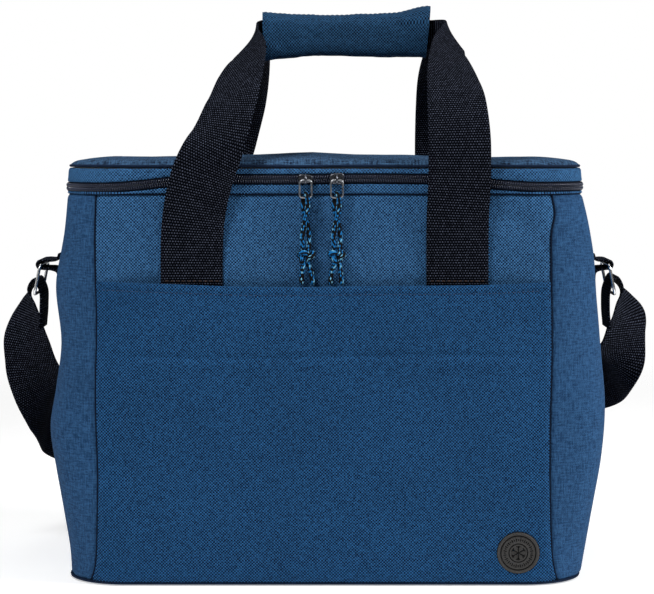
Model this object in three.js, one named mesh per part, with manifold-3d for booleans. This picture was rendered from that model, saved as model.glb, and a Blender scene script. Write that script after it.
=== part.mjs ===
// Soft-sided insulated cooler bag: a sewn body with foam walls, a zipped lid, two webbing
// carry handles joined by a padded wrap, and a webbing shoulder strap on two side rings.
// Millimetres, +Z up. The origin is the centre of the base on the ground, the front faces
// -Y and +X is to the right of someone who looks at the front.

import * as THREE from 'three';
import { mergeVertices } from 'three/addons/utils/BufferGeometryUtils.js';
import Module from 'manifold-3d';

const wasm = await Module();
wasm.setup();

// ---- driving dimensions ----------------------------------------------------------------

const GAP = 0.3; // between pieces that touch
const BODY = { halfWidth: 159, halfDepth: 97, corner: 38, seamTop: 242, bulgeHeight: 250 };
const BULGE = { across: 0.104, deep: 0.05 }; // how far a full bag swells at mid height
const SEAM_X = 138; // the upright seams between the front or back and the side gussets
const FABRIC = 1.6;
const FOAM = 6;
const LINER = 1;
const FOAM_INSET = FABRIC + GAP;
const LINER_INSET = FOAM_INSET + FOAM + GAP;
const CORNER_STEPS = 6;
const WALL_STEPS = 8;
const BASE = { fabric: 2, foamTop: 8.3, boardTop: 10.1 };
const RIM = { foamTop: 240, linerTop: 243 };
const ZIP = { bandTop: 247, tapeTop: 249, split: 251.3, coil: 2, upperTape: 255, sideBand: 257 };
const ZIP_BACK_Y = 72; // the zip ends at the back corners
const LID = { pipingTop: 259.8, edge: 260.1, crown: 6.8, linerTop: 254.6 };
const LID_RINGS = [0.04, 0.3, 0.55, 0.75, 0.9, 1];
const POCKET = {
  bottom: 6, hem: 186, halfWidth: 136.5, flat: 128, standOff: 6.6, fabric: 1.4, side: 3, foot: 2,
};
const WEBBING = { width: 38, thick: 1.8 };
const HANDLE = { foldZ: 196, tailBottom: 150, standOff: 1.4, frontGripY: 3.6, backGripY: 2.1, steps: 60 };
const GRIP = { left: -40, right: 67, z: 342.75, height: 28.5, depth: 20, wall: 3.5 };
const STRAP = {
  axisZ: 194, ringX: 184, steps: 96, thick: 1.6, lean: 0.2, bore: 2.2,
  tabHalfWidth: 19, tabDrop: 16, loopHalf: 4.2, loopHalfWidth: 18,
};
const RING = { length: 46, height: 22, bar: 3, corner: 4 };
const SLIDER = { left: -11.5, right: 7.5, width: 9, height: 6, depth: 3.8, back: 98.6 };
const BRIDGE = { halfWidth: 1.6, reach: 2, below: 2.2, above: 2.4, bore: 1.2 };
const PULLER = { y: -104.2, pivotZ: 250.6, width: 8.4, height: 11.8, wire: 1.4 };
const PULL = { cord: 3, knotTop: 209, knotBottom: 201, tailEnd: 187 };
const BADGE = { x: 119.5, z: 21, radius: 13, thick: 1.5 };

const LOOKS = {
  fabric: { color: 0x5b7492, roughness: 0.85, metalness: 0 },
  webbing: { color: 0x1c2230, roughness: 0.8, metalness: 0 },
  foam: { color: 0xdedfdb, roughness: 0.95, metalness: 0 },
  liner: { color: 0xbfc4c8, roughness: 0.45, metalness: 0 },
  board: { color: 0x30333a, roughness: 0.6, metalness: 0 },
  zip: { color: 0x232a3a, roughness: 0.6, metalness: 0 },
  metal: { color: 0xb4b7ba, roughness: 0.3, metalness: 1 },
  paracord: { color: 0x16191f, roughness: 0.75, metalness: 0 },
  rubber: { color: 0x34373c, roughness: 0.7, metalness: 0 },
};

// ---- solids ----------------------------------------------------------------------------

function toSolid(geometry) {
  const bare = geometry.clone();
  bare.deleteAttribute('normal');
  bare.deleteAttribute('uv');
  const merged = mergeVertices(bare, 1e-4);
  return new wasm.Manifold(
    new wasm.Mesh({
      numProp: 3,
      vertProperties: new Float32Array(merged.attributes.position.array),
      triVerts: new Uint32Array(merged.index.array),
    }),
  );
}

function toGeometry(solid) {
  const mesh = solid.getMesh();
  const geometry = new THREE.BufferGeometry();
  geometry.setAttribute('position', new THREE.BufferAttribute(mesh.vertProperties, 3));
  geometry.setIndex(new THREE.BufferAttribute(mesh.triVerts, 1));
  return geometry;
}

const minus = (a, b) => toGeometry(toSolid(a).subtract(toSolid(b)));
const plus = (a, b) => toGeometry(toSolid(a).add(toSolid(b)));
const within = (a, b) => toGeometry(toSolid(a).intersect(toSolid(b)));

function box([x0, x1], [y0, y1], [z0, z1]) {
  const geometry = new THREE.BoxGeometry(x1 - x0, y1 - y0, z1 - z0);
  return geometry.translate((x0 + x1) / 2, (y0 + y1) / 2, (z0 + z1) / 2);
}

// Closed rings of points, joined in order, with a flat end on the first and the last.
function loft(rings) {
  const count = rings[0].length;
  const last = (rings.length - 1) * count;
  const index = [];
  for (let r = 0; r < last; r += count) {
    for (let i = 0; i < count; i++) {
      const next = (i + 1) % count;
      index.push(r + i, r + next, r + count + next, r + i, r + count + next, r + count + i);
    }
  }
  for (let i = 1; i < count - 1; i++) {
    index.push(0, i + 1, i, last, last + i, last + i + 1);
  }
  const geometry = new THREE.BufferGeometry().setFromPoints(rings.flat());
  geometry.setIndex(index);
  return geometry;
}

// ---- the body's plan and swell ---------------------------------------------------------

// The body's plan, a rectangle with round corners, anticlockwise seen from above.
function plan(inset, scale = 1) {
  const { halfWidth, halfDepth, corner } = BODY;
  const radius = corner - inset;
  const points = [];
  for (let turn = 0; turn < 4; turn++) {
    const sx = turn === 0 || turn === 3 ? 1 : -1;
    const sy = turn < 2 ? 1 : -1;
    for (let step = 0; step <= CORNER_STEPS; step++) {
      const angle = (Math.PI / 2) * (turn + step / CORNER_STEPS);
      const x = sx * (halfWidth - corner) + radius * Math.cos(angle);
      const y = sy * (halfDepth - corner) + radius * Math.sin(angle);
      points.push(new THREE.Vector2(x * scale, y * scale));
    }
  }
  return points;
}

const swell = (z) => Math.sin(Math.PI * THREE.MathUtils.clamp(z / BODY.bulgeHeight, 0, 1));
const widthAt = (z) => 1 + BULGE.across * swell(z);
const depthAt = (z) => 1 + BULGE.deep * swell(z);

function swollen(geometry) {
  const position = geometry.attributes.position;
  for (let i = 0; i < position.count; i++) {
    const z = position.getZ(i);
    position.setX(i, position.getX(i) * widthAt(z));
    position.setY(i, position.getY(i) * depthAt(z));
  }
  return geometry;
}

function upright(points, bottom, top, hole = null) {
  const shape = new THREE.Shape(points);
  if (hole) {
    shape.holes.push(new THREE.Path(hole));
  }
  const steps = Math.max(1, Math.round((WALL_STEPS * (top - bottom)) / BODY.bulgeHeight));
  const geometry = new THREE.ExtrudeGeometry(shape, {
    depth: top - bottom,
    steps,
    bevelEnabled: false,
  });
  return swollen(geometry.translate(0, 0, bottom));
}

const slab = (inset, bottom, top) => upright(plan(inset), bottom, top);
const wall = (inset, thick, bottom, top) =>
  upright(plan(inset), bottom, top, plan(inset + thick));

const FAR = 300;
const frontOf = (y) => box([-FAR, FAR], [-FAR, y], [-FAR, FAR * 2]);

// ---- webbing ---------------------------------------------------------------------------

// Flat webbing through stations [x, y, z, acrossX, acrossY, acrossZ, width].
function webbing(stations, steps, thick = WEBBING.thick) {
  const vector = (s, k) => new THREE.Vector3(s[k], s[k + 1], s[k + 2]);
  const middle = new THREE.CatmullRomCurve3(stations.map((s) => vector(s, 0)));
  const across = new THREE.CatmullRomCurve3(stations.map((s) => vector(s, 3)));
  const width = new THREE.CatmullRomCurve3(stations.map((s) => new THREE.Vector3(s[6], 0, 0)));
  const rings = [];
  for (let i = 0; i <= steps; i++) {
    const u = i / steps;
    const along = middle.getTangent(u);
    const side = across.getPoint(u);
    side.addScaledVector(along, -side.dot(along)).normalize();
    const face = new THREE.Vector3().crossVectors(along, side).multiplyScalar(thick / 2);
    side.multiplyScalar(width.getPoint(u).x / 2);
    const centre = middle.getPoint(u);
    const corner = (a, b) => centre.clone().addScaledVector(side, a).addScaledVector(face, b);
    rings.push([corner(-1, -1), corner(1, -1), corner(1, 1), corner(-1, 1)]);
  }
  return loft(rings);
}

// ---- cooler body -----------------------------------------------------------------------

function basePanel() {
  return slab(0, 0, BASE.fabric);
}

function outerWall() {
  return wall(0, FABRIC, BASE.fabric + GAP, BODY.seamTop - GAP);
}

function facePanel(side) {
  const y = side < 0 ? [-FAR, 0] : [0, FAR];
  return within(outerWall(), box([-SEAM_X + GAP / 2, SEAM_X - GAP / 2], y, [-FAR, FAR]));
}

function sidePanel(side) {
  const edge = side * (SEAM_X + GAP / 2);
  const x = side < 0 ? [-FAR, edge] : [edge, FAR];
  return within(outerWall(), box(x, [-FAR, FAR], [-FAR, FAR]));
}

function foamTub() {
  const bottom = BASE.fabric + GAP;
  const inner = slab(FOAM_INSET + FOAM, BASE.foamTop, RIM.foamTop + 10);
  return minus(slab(FOAM_INSET, bottom, RIM.foamTop), inner);
}

function baseBoard() {
  return slab(LINER_INSET + LINER, BASE.foamTop + GAP, BASE.boardTop);
}

function linerTub() {
  const bottom = BASE.boardTop + GAP;
  const inner = slab(LINER_INSET + LINER, bottom + LINER, RIM.linerTop + 10);
  return minus(slab(LINER_INSET, bottom, RIM.linerTop), inner);
}

// The pocket is a sheet that stands off the front and closes on it at its sides and foot.
const POCKET_SEAT = -BODY.halfDepth - GAP;

function pocketOutline(standOff, halfWidth, flat, back) {
  const front = -BODY.halfDepth - standOff;
  return [
    new THREE.Vector2(-halfWidth, back),
    new THREE.Vector2(-flat, front),
    new THREE.Vector2(flat, front),
    new THREE.Vector2(halfWidth, back),
  ];
}

function frontPocketPanel() {
  const { bottom, hem, halfWidth, flat, standOff, fabric, side, foot } = POCKET;
  const sheet = pocketOutline(standOff + fabric, halfWidth, flat, POCKET_SEAT);
  const room = pocketOutline(standOff, halfWidth - side, flat - 1, POCKET_SEAT + side);
  return minus(upright(sheet, bottom, hem), upright(room, bottom + foot, hem + 10));
}

function badge() {
  const highest = depthAt(BADGE.z + BADGE.radius + 1);
  const front = -(BODY.halfDepth + POCKET.standOff + POCKET.fabric) * highest;
  const disc = new THREE.CylinderGeometry(BADGE.radius, BADGE.radius, BADGE.thick, 32);
  return disc.translate(BADGE.x, front - GAP - BADGE.thick / 2, BADGE.z);
}

// ---- zip and lid -----------------------------------------------------------------------

function zipBandLower() {
  return wall(0, FABRIC, BODY.seamTop, ZIP.bandTop);
}

const zipRun = (inset, thick, bottom, top) =>
  within(wall(inset, thick, bottom, top), frontOf(ZIP_BACK_Y));

function lidHingeStrip() {
  const bottom = ZIP.bandTop + GAP;
  const strip = wall(0, FABRIC, bottom, ZIP.split - GAP);
  return minus(strip, frontOf(ZIP_BACK_Y + GAP));
}

// Height above the lid's edge of its crowned top, at a share of the way out to that edge.
const crown = (share) => LID.crown * Math.cos((Math.PI / 2) * share ** 1.6);

const lidRing = (share, inset, z) =>
  plan(inset, share).map((p) => new THREE.Vector3(p.x, p.y, z));

function lidTopPanel() {
  const under = LID_RINGS.map((s) => lidRing(s, 0, LID.edge + crown(s)));
  const over = LID_RINGS.map((s) => lidRing(s, 0, LID.edge + crown(s) + FABRIC));
  return loft([...under, ...over.reverse()]);
}

function lidFoam() {
  const bottom = lidRing(1, FOAM_INSET, LID.linerTop + GAP);
  const top = LID_RINGS.map((s) => lidRing(s, FOAM_INSET, LID.edge + crown(s) - GAP));
  return loft([bottom, ...top.reverse()]);
}

function lidLiner() {
  return slab(FOAM_INSET, LID.linerTop - LINER, LID.linerTop);
}

// ---- zip pulls -------------------------------------------------------------------------

// A slider with a bridge on its face, bored for the puller's top bar.
function zipSlider(x) {
  const { width, height, depth, back } = SLIDER;
  const { halfWidth, reach, below, above, bore } = BRIDGE;
  const { y, pivotZ } = PULLER;
  const middle = ZIP.split + 0.1;
  const across = [x - width / 2, x + width / 2];
  const body = box(across, [-back - depth, -back], [middle - height / 2, middle + height / 2]);
  const bridge = box(
    [x - halfWidth, x + halfWidth],
    [y - reach, -back - depth + 0.5],
    [pivotZ - below, pivotZ + above],
  );
  const hole = new THREE.CylinderGeometry(bore, bore, width, 16).rotateZ(Math.PI / 2);
  return minus(plus(body, bridge), hole.translate(x, y, pivotZ));
}

function flatRing(width, height, bar, thick, corner) {
  const rectangle = (w, h, r) => {
    const shape = new THREE.Shape();
    shape.moveTo(-w + r, -h);
    shape.lineTo(w - r, -h);
    shape.absarc(w - r, -h + r, r, -Math.PI / 2, 0);
    shape.absarc(w - r, h - r, r, 0, Math.PI / 2);
    shape.absarc(-w + r, h - r, r, Math.PI / 2, Math.PI);
    shape.absarc(-w + r, -h + r, r, Math.PI, Math.PI * 1.5);
    return shape;
  };
  const shape = rectangle(width / 2, height / 2, corner);
  shape.holes.push(rectangle(width / 2 - bar, height / 2 - bar, corner - bar * 0.6));
  const options = { depth: thick, bevelEnabled: false, curveSegments: 3 };
  return new THREE.ExtrudeGeometry(shape, options).translate(0, 0, -thick / 2);
}

function zipPuller(x) {
  const { width, height, wire, y, pivotZ } = PULLER;
  const ring = flatRing(width, height, wire, wire, 1.8).rotateX(Math.PI / 2);
  return ring.translate(x, y, pivotZ + wire / 2 - height / 2);
}

// The doubled cord: up from the knot, over the puller's lower bar and down again. Each row is
// how far a point lies to the side of the puller, in front of it, and its height.
function pullCord(x) {
  const barZ = PULLER.pivotZ - PULLER.height + PULLER.wire;
  const clear = PULLER.wire / 2 + PULL.cord / 2 + GAP;
  const apart = clear + 0.4;
  const front = [
    [-1.8, 0, PULL.knotTop + GAP],
    [-1.9, 0.6, 217],
    [-2, 1.6, 228],
    [-1.2, apart + 0.2, 236],
    [-0.5, apart, barZ],
  ];
  const back = front.map(([side, ahead, z]) => [-side, -ahead, z]).reverse();
  const over = [[0, 0, barZ + clear + 0.9]];
  const points = [...front, ...over, ...back];
  const route = new THREE.CatmullRomCurve3(
    points.map(([side, ahead, z]) => new THREE.Vector3(x + side, PULLER.y - ahead, z)),
  );
  const section = new THREE.Shape().absarc(0, 0, PULL.cord / 2, 0, Math.PI * 2);
  return new THREE.ExtrudeGeometry(section, {
    extrudePath: route,
    steps: 44,
    curveSegments: 4,
    bevelEnabled: false,
  });
}

function pullKnot(x) {
  const { knotTop, knotBottom, tailEnd, cord } = PULL;
  const height = knotTop - knotBottom;
  const ball = new THREE.SphereGeometry(height / 2, 16, 10).rotateX(Math.PI / 2);
  let solid = ball.scale(1.25, 0.95, 1).translate(x, PULLER.y, (knotTop + knotBottom) / 2);
  for (const side of [-1, 1]) {
    const long = knotBottom + 2 - tailEnd;
    const tail = new THREE.CylinderGeometry(cord / 2, cord / 2, long, 8).rotateX(Math.PI / 2);
    tail.rotateY(side * -0.16).translate(x + side * 3, PULLER.y, tailEnd + long / 2);
    solid = plus(solid, tail);
  }
  return solid;
}

// ---- carry handles ---------------------------------------------------------------------

const faceY = (z) => BODY.halfDepth * depthAt(z) + HANDLE.standOff;

function handleTail(x, side) {
  const heights = [HANDLE.tailBottom, (HANDLE.tailBottom + HANDLE.foldZ) / 2, HANDLE.foldZ - GAP];
  return webbing(
    heights.map((z) => [x, side * faceY(z), z, 1, 0, 0, WEBBING.width]),
    4,
  );
}

// One handle from its left leg, along the grip and down its right leg. Beside the body, y is
// measured from the fold, and elsewhere from the middle of the bag.
const LEG_X = 81;
const LEFT_LEG_LOW = [
  [-LEG_X, 0, HANDLE.foldZ, 1, 0, 0, 38],
  [-LEG_X, 1, 225, 1, 0, 0, 38],
  [-75.5, 2.5, 252, 1, 0, 0.12, 38],
];
const LEFT_LEG_HIGH = [
  [-68, 103, 275, 1, 0, 0.3, 38],
  [-59, 90, 298, 0.95, 0, 0.36, 36],
  [-54, 64, 316, 0.9, 0, 0.4, 32],
  [-50, 34, 330, 0.8, 0.1, 0.5, 27],
  [-47, 12, 338.5, 0.5, 0.15, 0.8, 21],
];
const RIGHT_LEG_HIGH = [
  [78, 12, 340, -0.5, 0.15, 0.8, 22],
  [80.5, 34, 332, -0.8, 0.1, 0.5, 27],
  [80.5, 64, 317, -0.95, 0, 0.25, 32],
  [81, 90, 298, -1, 0, 0, 36],
  [82, 103, 275, -1, 0, 0, 38],
];
const RIGHT_LEG_LOW = [
  [82, 2.5, 252, -1, 0, 0, 38],
  [LEG_X, 1, 225, -1, 0, 0, 38],
  [LEG_X, 0, HANDLE.foldZ, -1, 0, 0, 38],
];

function handleWebbing(side) {
  const fold = faceY(HANDLE.foldZ);
  const gripY = side < 0 ? HANDLE.frontGripY : HANDLE.backGripY;
  const outward = ([x, y, ...rest]) => [x, fold + y, ...rest];
  const inGrip = [-40, -20, 14, 47, 69].map((x) => [x, gripY, GRIP.z, 0, 0, 1, 19]);
  const legs = [
    ...LEFT_LEG_LOW.map(outward),
    ...LEFT_LEG_HIGH,
    ...inGrip,
    ...RIGHT_LEG_HIGH,
    ...RIGHT_LEG_LOW.map(outward),
  ];
  const mirrored = ([x, y, z, ax, ay, az, wide]) => [x, side * y, z, ax, side * ay, az, wide];
  return webbing(legs.map(mirrored), HANDLE.steps);
}

// The wrap is a padded channel on the front handle with its mouth towards the back.
function gripWrap() {
  const { left, right, z, height, depth, wall: pad } = GRIP;
  const outline = new THREE.Shape();
  const [h, d, r] = [height / 2, depth / 2, 7];
  outline.moveTo(-d + r, -h);
  outline.lineTo(d, -h);
  outline.lineTo(d, -h + pad);
  outline.lineTo(-d + pad, -h + pad);
  outline.lineTo(-d + pad, h - pad);
  outline.lineTo(d, h - pad);
  outline.lineTo(d, h);
  outline.lineTo(-d + r, h);
  outline.absarc(-d + r, h - r, r, Math.PI / 2, Math.PI);
  outline.absarc(-d + r, -h + r, r, Math.PI, Math.PI * 1.5);
  const options = { depth: right - left, bevelEnabled: false, curveSegments: 5 };
  const bar = new THREE.ExtrudeGeometry(outline, options);
  return bar.rotateX(Math.PI / 2).rotateZ(Math.PI / 2).translate(left, 0, z);
}

function gripLoopPanel() {
  const room = GRIP.height / 2 - GRIP.wall - 1;
  return box([GRIP.left + 2, GRIP.right - 2], [3.4, 9.4], [GRIP.z - room, GRIP.z + room]);
}

// ---- shoulder strap --------------------------------------------------------------------

const sideX = (z) => BODY.halfWidth * widthAt(z);

const TAB_X = sideX(STRAP.axisZ - STRAP.tabDrop) + GAP; // the tabs lie on the gussets here

function strapTab(side) {
  const { axisZ, tabHalfWidth, tabDrop } = STRAP;
  const edges = [side * TAB_X, side * (TAB_X + WEBBING.thick)].sort((a, b) => a - b);
  return box(edges, [-tabHalfWidth, tabHalfWidth], [axisZ - tabDrop, axisZ + 4]);
}

// A folded loop of webbing that stands out from the sewn tab and holds the ring's top bar.
function strapTabLoop(side) {
  const { axisZ, ringX, loopHalf, loopHalfWidth, bore } = STRAP;
  const inner = TAB_X + WEBBING.thick + GAP;
  const edges = [side * inner, side * (ringX + loopHalf)].sort((a, b) => a - b);
  const band = box(edges, [-loopHalfWidth, loopHalfWidth], [axisZ - loopHalf, axisZ + loopHalf]);
  const hole = new THREE.CylinderGeometry(bore, bore, 60, 12);
  return minus(band, hole.translate(side * ringX, 0, axisZ));
}

function strapRing(side) {
  const { length, height, bar, corner } = RING;
  const ring = flatRing(length, height, bar, bar, corner).rotateX(Math.PI / 2);
  ring.rotateZ(Math.PI / 2).translate(0, 0, (bar - height) / 2).rotateY(-side * STRAP.lean);
  return ring.translate(side * STRAP.ringX, 0, STRAP.axisZ);
}

// From the left ring down, behind the bag just off the ground, and up to the right ring.
const STRAP_STATIONS = [
  [-190, 0, 171, 0, 1, 0, 38],
  [-194, 1, 160, -0.4, 0.9, 0.05, 38],
  [-196, 4, 142, -0.85, 0.5, 0.1, 38],
  [-199, 11, 125, -0.86, 0.4, -0.2, 38],
  [-200, 25, 109, -0.72, 0.3, -0.55, 38],
  [-198, 47, 92, -0.4, 0.12, -0.9, 38],
  [-190, 77, 76, -0.1, 0, -1, 38],
  [-168, 112, 60, 0, 0, -1, 38],
  [-138, 138, 42, 0, 0, -1, 38],
  [-92, 154, 27, 0, 0, -1, 38],
  [-40, 158, 22, 0, 0, -1, 38],
  [20, 158, 22, 0, 0, -1, 38],
  [76, 154, 32, 0, 0, -1, 38],
  [126, 140, 58, 0, 0, -1, 38],
  [162, 111, 84, 0, 0, -1, 38],
  [182, 73, 105, 0.1, 0, -1, 38],
  [191, 40, 115, 0.42, 0.12, -0.9, 38],
  [197, 14, 129, 0.76, 0.3, -0.5, 38],
  [198, 4, 145, 0.85, 0.5, 0.05, 38],
  [194, 1, 160, 0.4, 0.9, 0.05, 38],
  [190, 0, 171, 0, 1, 0, 38],
];

function shoulderStrap() {
  return webbing(STRAP_STATIONS, STRAP.steps, STRAP.thick);
}

// A three-bar buckle that shortens the strap, on the run behind the bag.
const BUCKLE = { x: [-70, -54], y: [159.2, 161.6], z: [1, 49], slots: [[-67, -64], [-60, -57]] };

function strapAdjuster() {
  const [low, high] = BUCKLE.z;
  let plate = box(BUCKLE.x, BUCKLE.y, BUCKLE.z);
  for (const slot of BUCKLE.slots) {
    plate = minus(plate, box(slot, [BUCKLE.y[0] - 9, BUCKLE.y[1] + 9], [low + 3, high - 3]));
  }
  return plate;
}

// ---- assembly --------------------------------------------------------------------------

const bag = new THREE.Group();

function add(name, look, geometry) {
  const mesh = new THREE.Mesh(geometry, new THREE.MeshStandardMaterial(LOOKS[look]));
  mesh.name = name;
  bag.add(mesh);
}

add('base_panel', 'fabric', basePanel());
add('base_board', 'board', baseBoard());
add('foam_tub', 'foam', foamTub());
add('liner_tub', 'liner', linerTub());
add('front_panel', 'fabric', facePanel(-1));
add('back_panel', 'fabric', facePanel(1));
add('front_pocket_panel', 'fabric', frontPocketPanel());
add('badge', 'rubber', badge());
add('zip_band_lower', 'fabric', zipBandLower());
add('zip_tape_lower', 'zip', zipRun(0.4, 0.8, ZIP.bandTop + GAP, ZIP.tapeTop));
add('zip_coil_lower', 'zip', zipRun(-1, 2, ZIP.tapeTop + GAP, ZIP.split - GAP / 2));
add('lid_hinge_strip', 'fabric', lidHingeStrip());
add('zip_coil_upper', 'zip', zipRun(-1, 2, ZIP.split + GAP / 2, ZIP.split + ZIP.coil));
add('zip_tape_upper', 'zip', zipRun(0.4, 0.8, ZIP.split + ZIP.coil + GAP, ZIP.upperTape));
add('lid_side_band', 'fabric', wall(0, FABRIC, ZIP.upperTape + GAP, ZIP.sideBand));
add('lid_piping', 'webbing', wall(-1.2, 2.6, ZIP.sideBand + GAP, LID.pipingTop));
add('lid_top_panel', 'fabric', lidTopPanel());
add('lid_foam', 'foam', lidFoam());
add('lid_liner', 'liner', lidLiner());

add('handle_front_webbing', 'webbing', handleWebbing(-1));
add('grip_wrap', 'fabric', gripWrap());
add('handle_back_webbing', 'webbing', handleWebbing(1));
add('grip_loop_panel', 'fabric', gripLoopPanel());
add('shoulder_strap', 'webbing', shoulderStrap());
add('strap_adjuster', 'metal', strapAdjuster());

for (const [name, side] of [['left', -1], ['right', 1]]) {
  add(`side_panel_${name}`, 'fabric', sidePanel(side));
  add(`handle_tail_front_${name}`, 'webbing', handleTail(side * LEG_X, -1));
  add(`handle_tail_back_${name}`, 'webbing', handleTail(side * LEG_X, 1));
  add(`strap_tab_${name}`, 'webbing', strapTab(side));
  add(`strap_tab_loop_${name}`, 'webbing', strapTabLoop(side));
  add(`strap_ring_${name}`, 'metal', strapRing(side));
  add(`zip_slider_${name}`, 'metal', zipSlider(SLIDER[name]));
  add(`zip_puller_${name}`, 'metal', zipPuller(SLIDER[name]));
  add(`pull_cord_${name}`, 'paracord', pullCord(SLIDER[name]));
  add(`pull_knot_${name}`, 'paracord', pullKnot(SLIDER[name]));
}

export default bag;
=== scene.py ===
"""Looks of a soft insulated cooler bag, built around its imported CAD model.

Lengths are millimetres until a mesh is made. +Z is up, the front faces -Y, and the
origin is the middle of the base, on the ground.
"""

import math

import bpy
import numpy as np
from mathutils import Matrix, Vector, noise


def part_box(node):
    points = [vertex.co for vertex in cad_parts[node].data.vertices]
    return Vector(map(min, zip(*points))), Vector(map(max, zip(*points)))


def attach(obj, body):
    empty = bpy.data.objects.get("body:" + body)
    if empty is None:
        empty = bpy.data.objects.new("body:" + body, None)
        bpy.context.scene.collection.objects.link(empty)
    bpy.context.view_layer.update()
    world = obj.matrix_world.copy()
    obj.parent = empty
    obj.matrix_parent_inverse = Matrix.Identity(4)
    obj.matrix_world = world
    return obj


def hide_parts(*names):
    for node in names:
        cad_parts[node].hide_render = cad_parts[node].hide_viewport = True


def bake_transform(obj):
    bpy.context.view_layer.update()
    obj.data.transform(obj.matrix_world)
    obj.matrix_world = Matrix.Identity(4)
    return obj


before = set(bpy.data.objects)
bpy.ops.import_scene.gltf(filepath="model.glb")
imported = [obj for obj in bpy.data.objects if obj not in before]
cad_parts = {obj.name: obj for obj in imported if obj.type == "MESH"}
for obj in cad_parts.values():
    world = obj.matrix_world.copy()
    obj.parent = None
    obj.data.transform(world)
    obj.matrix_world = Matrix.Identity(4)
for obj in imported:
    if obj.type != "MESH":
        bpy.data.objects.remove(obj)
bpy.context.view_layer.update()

MM = 0.001


def cad(node):
    """Lowest and highest corner of a CAD node, in millimetres."""
    low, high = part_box(node)
    return np.array(low) / MM, np.array(high) / MM


def cad_middle(node):
    low, high = cad(node)
    return (low + high) / 2


# ---- sizes from the frame ----------------------------------------------------------------

SEAM_TOP = cad("front_panel")[1][2] + 0.3  # where the body ends and the zip's band starts
SWELL_HEIGHT = 250  # the body swells over this height, as its foam walls do
HALF_DEPTH = -cad("zip_band_lower")[0][1]
CORNER = 38
SIDE_BOW = 2.5
FACE_BOW = 2.6
DEPTH_SWELL = 3.2
HEM = cad("front_pocket_panel")[1][2]
ZIP_LINE = (cad("zip_coil_lower")[1][2] + cad("zip_coil_upper")[0][2]) / 2
ZIP_END_Y = cad("zip_tape_lower")[1][1]
LID_SEAM = cad("lid_piping")[0][2]
LID_EDGE = cad("lid_piping")[1][2]
STRAP_AXIS_Z = 194
RING_X_TOP = cad("strap_tab_loop_right")[1][0] - 4.2  # the ring's top bar
WEBBING_WIDTH = 38
WEBBING_THICK = 1.7

# Half widths of the body at heights above the ground. The left side has a slight waist.
LEFT_SIDE = [
    (0, 161.2), (14, 162), (39, 165.8), (69, 170.8), (96, 174), (118, 170.8), (145, 167.2),
    (188, 169.6), (206, 166.4), (225, 163.2), (242, 160.7),
]
RIGHT_SIDE = [
    (0, 161.6), (20, 165.4), (46, 170.3), (75, 176), (103, 178.2), (139, 175.2),
    (174, 172.8), (205, 170), (225, 165.8), (242, 161),
]


# ---- curves and noise --------------------------------------------------------------------


def spline(knots, values, at):
    """A smooth curve through the values at the knots. A value may be a row of numbers."""
    knots = np.asarray(knots, float)
    values = np.asarray(values, float)
    at = np.asarray(at, float)
    slopes = np.gradient(values, knots, axis=0)
    k = np.clip(np.searchsorted(knots, at, side="right") - 1, 0, len(knots) - 2)
    step = knots[k + 1] - knots[k]
    t = np.clip((at - knots[k]) / step, 0, 1)
    if values.ndim > 1:
        step = step[..., None]
        t = t[..., None]
    start = (2 * t**3 - 3 * t**2 + 1) * values[k] + (t**3 - 2 * t**2 + t) * step * slopes[k]
    end = (3 * t**2 - 2 * t**3) * values[k + 1] + (t**3 - t**2) * step * slopes[k + 1]
    return start + end


def walk(points):
    """How far along a path each of its points lies."""
    return np.concatenate([[0], np.cumsum(np.linalg.norm(np.diff(points, axis=0), axis=1))])


def raised(plan, height):
    """The points of a plan lifted to one height, or each to its own."""
    return np.column_stack([plan, np.broadcast_to(height, len(plan))])


def smooth_path(points, count):
    """Points along a smooth curve through the given ones."""
    points = np.asarray(points, float)
    knots = walk(points[:, :3])
    return spline(knots, points, np.linspace(0, knots[-1], count))


def at_lengths(points, lengths, at):
    """Places at given distances along a path, whose own points lie at lengths."""
    return np.stack([np.interp(at, lengths, column) for column in points.T], -1)


def fade(low, high, value):
    """0 up to low, 1 from high, and smooth between them."""
    t = np.clip((value - low) / (high - low), 0, 1)
    return t * t * (3 - 2 * t)


def bell(value, middle, spread):
    return np.exp(-(((value - middle) / spread) ** 2))


def ripple(a, b, size, seed):
    """Smooth noise from -1 to 1 over two coordinates, with folds about size apart."""
    a, b = np.broadcast_arrays(np.asarray(a, float), np.asarray(b, float))
    flat = zip((a / size).ravel(), (b / size).ravel())
    values = [noise.noise(Vector((x, y, seed))) for x, y in flat]
    return np.array(values).reshape(a.shape)


def ends_close(count):
    """Shares from 0 to 1 that lie closer together near both ends."""
    return 0.5 - 0.5 * np.cos(np.pi * np.linspace(0, 1, count))


def unit(vectors):
    return vectors / np.linalg.norm(vectors, axis=-1, keepdims=True)


# ---- meshes ------------------------------------------------------------------------------


def add_mesh(name, points, faces, uv=None):
    mesh = bpy.data.meshes.new(name)
    mesh.from_pydata((np.asarray(points, float) * MM).tolist(), [], faces)
    if uv is not None:
        layer = mesh.uv_layers.new(name="UVMap")
        index = np.empty(len(mesh.loops), np.int64)
        mesh.loops.foreach_get("vertex_index", index)
        layer.data.foreach_set("uv", (np.asarray(uv) * MM)[index].ravel())
    mesh.shade_smooth()
    obj = bpy.data.objects.new(name, mesh)
    bpy.context.scene.collection.objects.link(obj)
    return obj


def grid_faces(rows, columns):
    r = np.arange(rows - 1)[:, None] * columns
    c = np.arange(columns - 1)[None, :]
    corners = [r + c, r + c + 1, r + columns + c + 1, r + columns + c]
    return np.stack(corners, -1).reshape(-1, 4)


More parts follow.
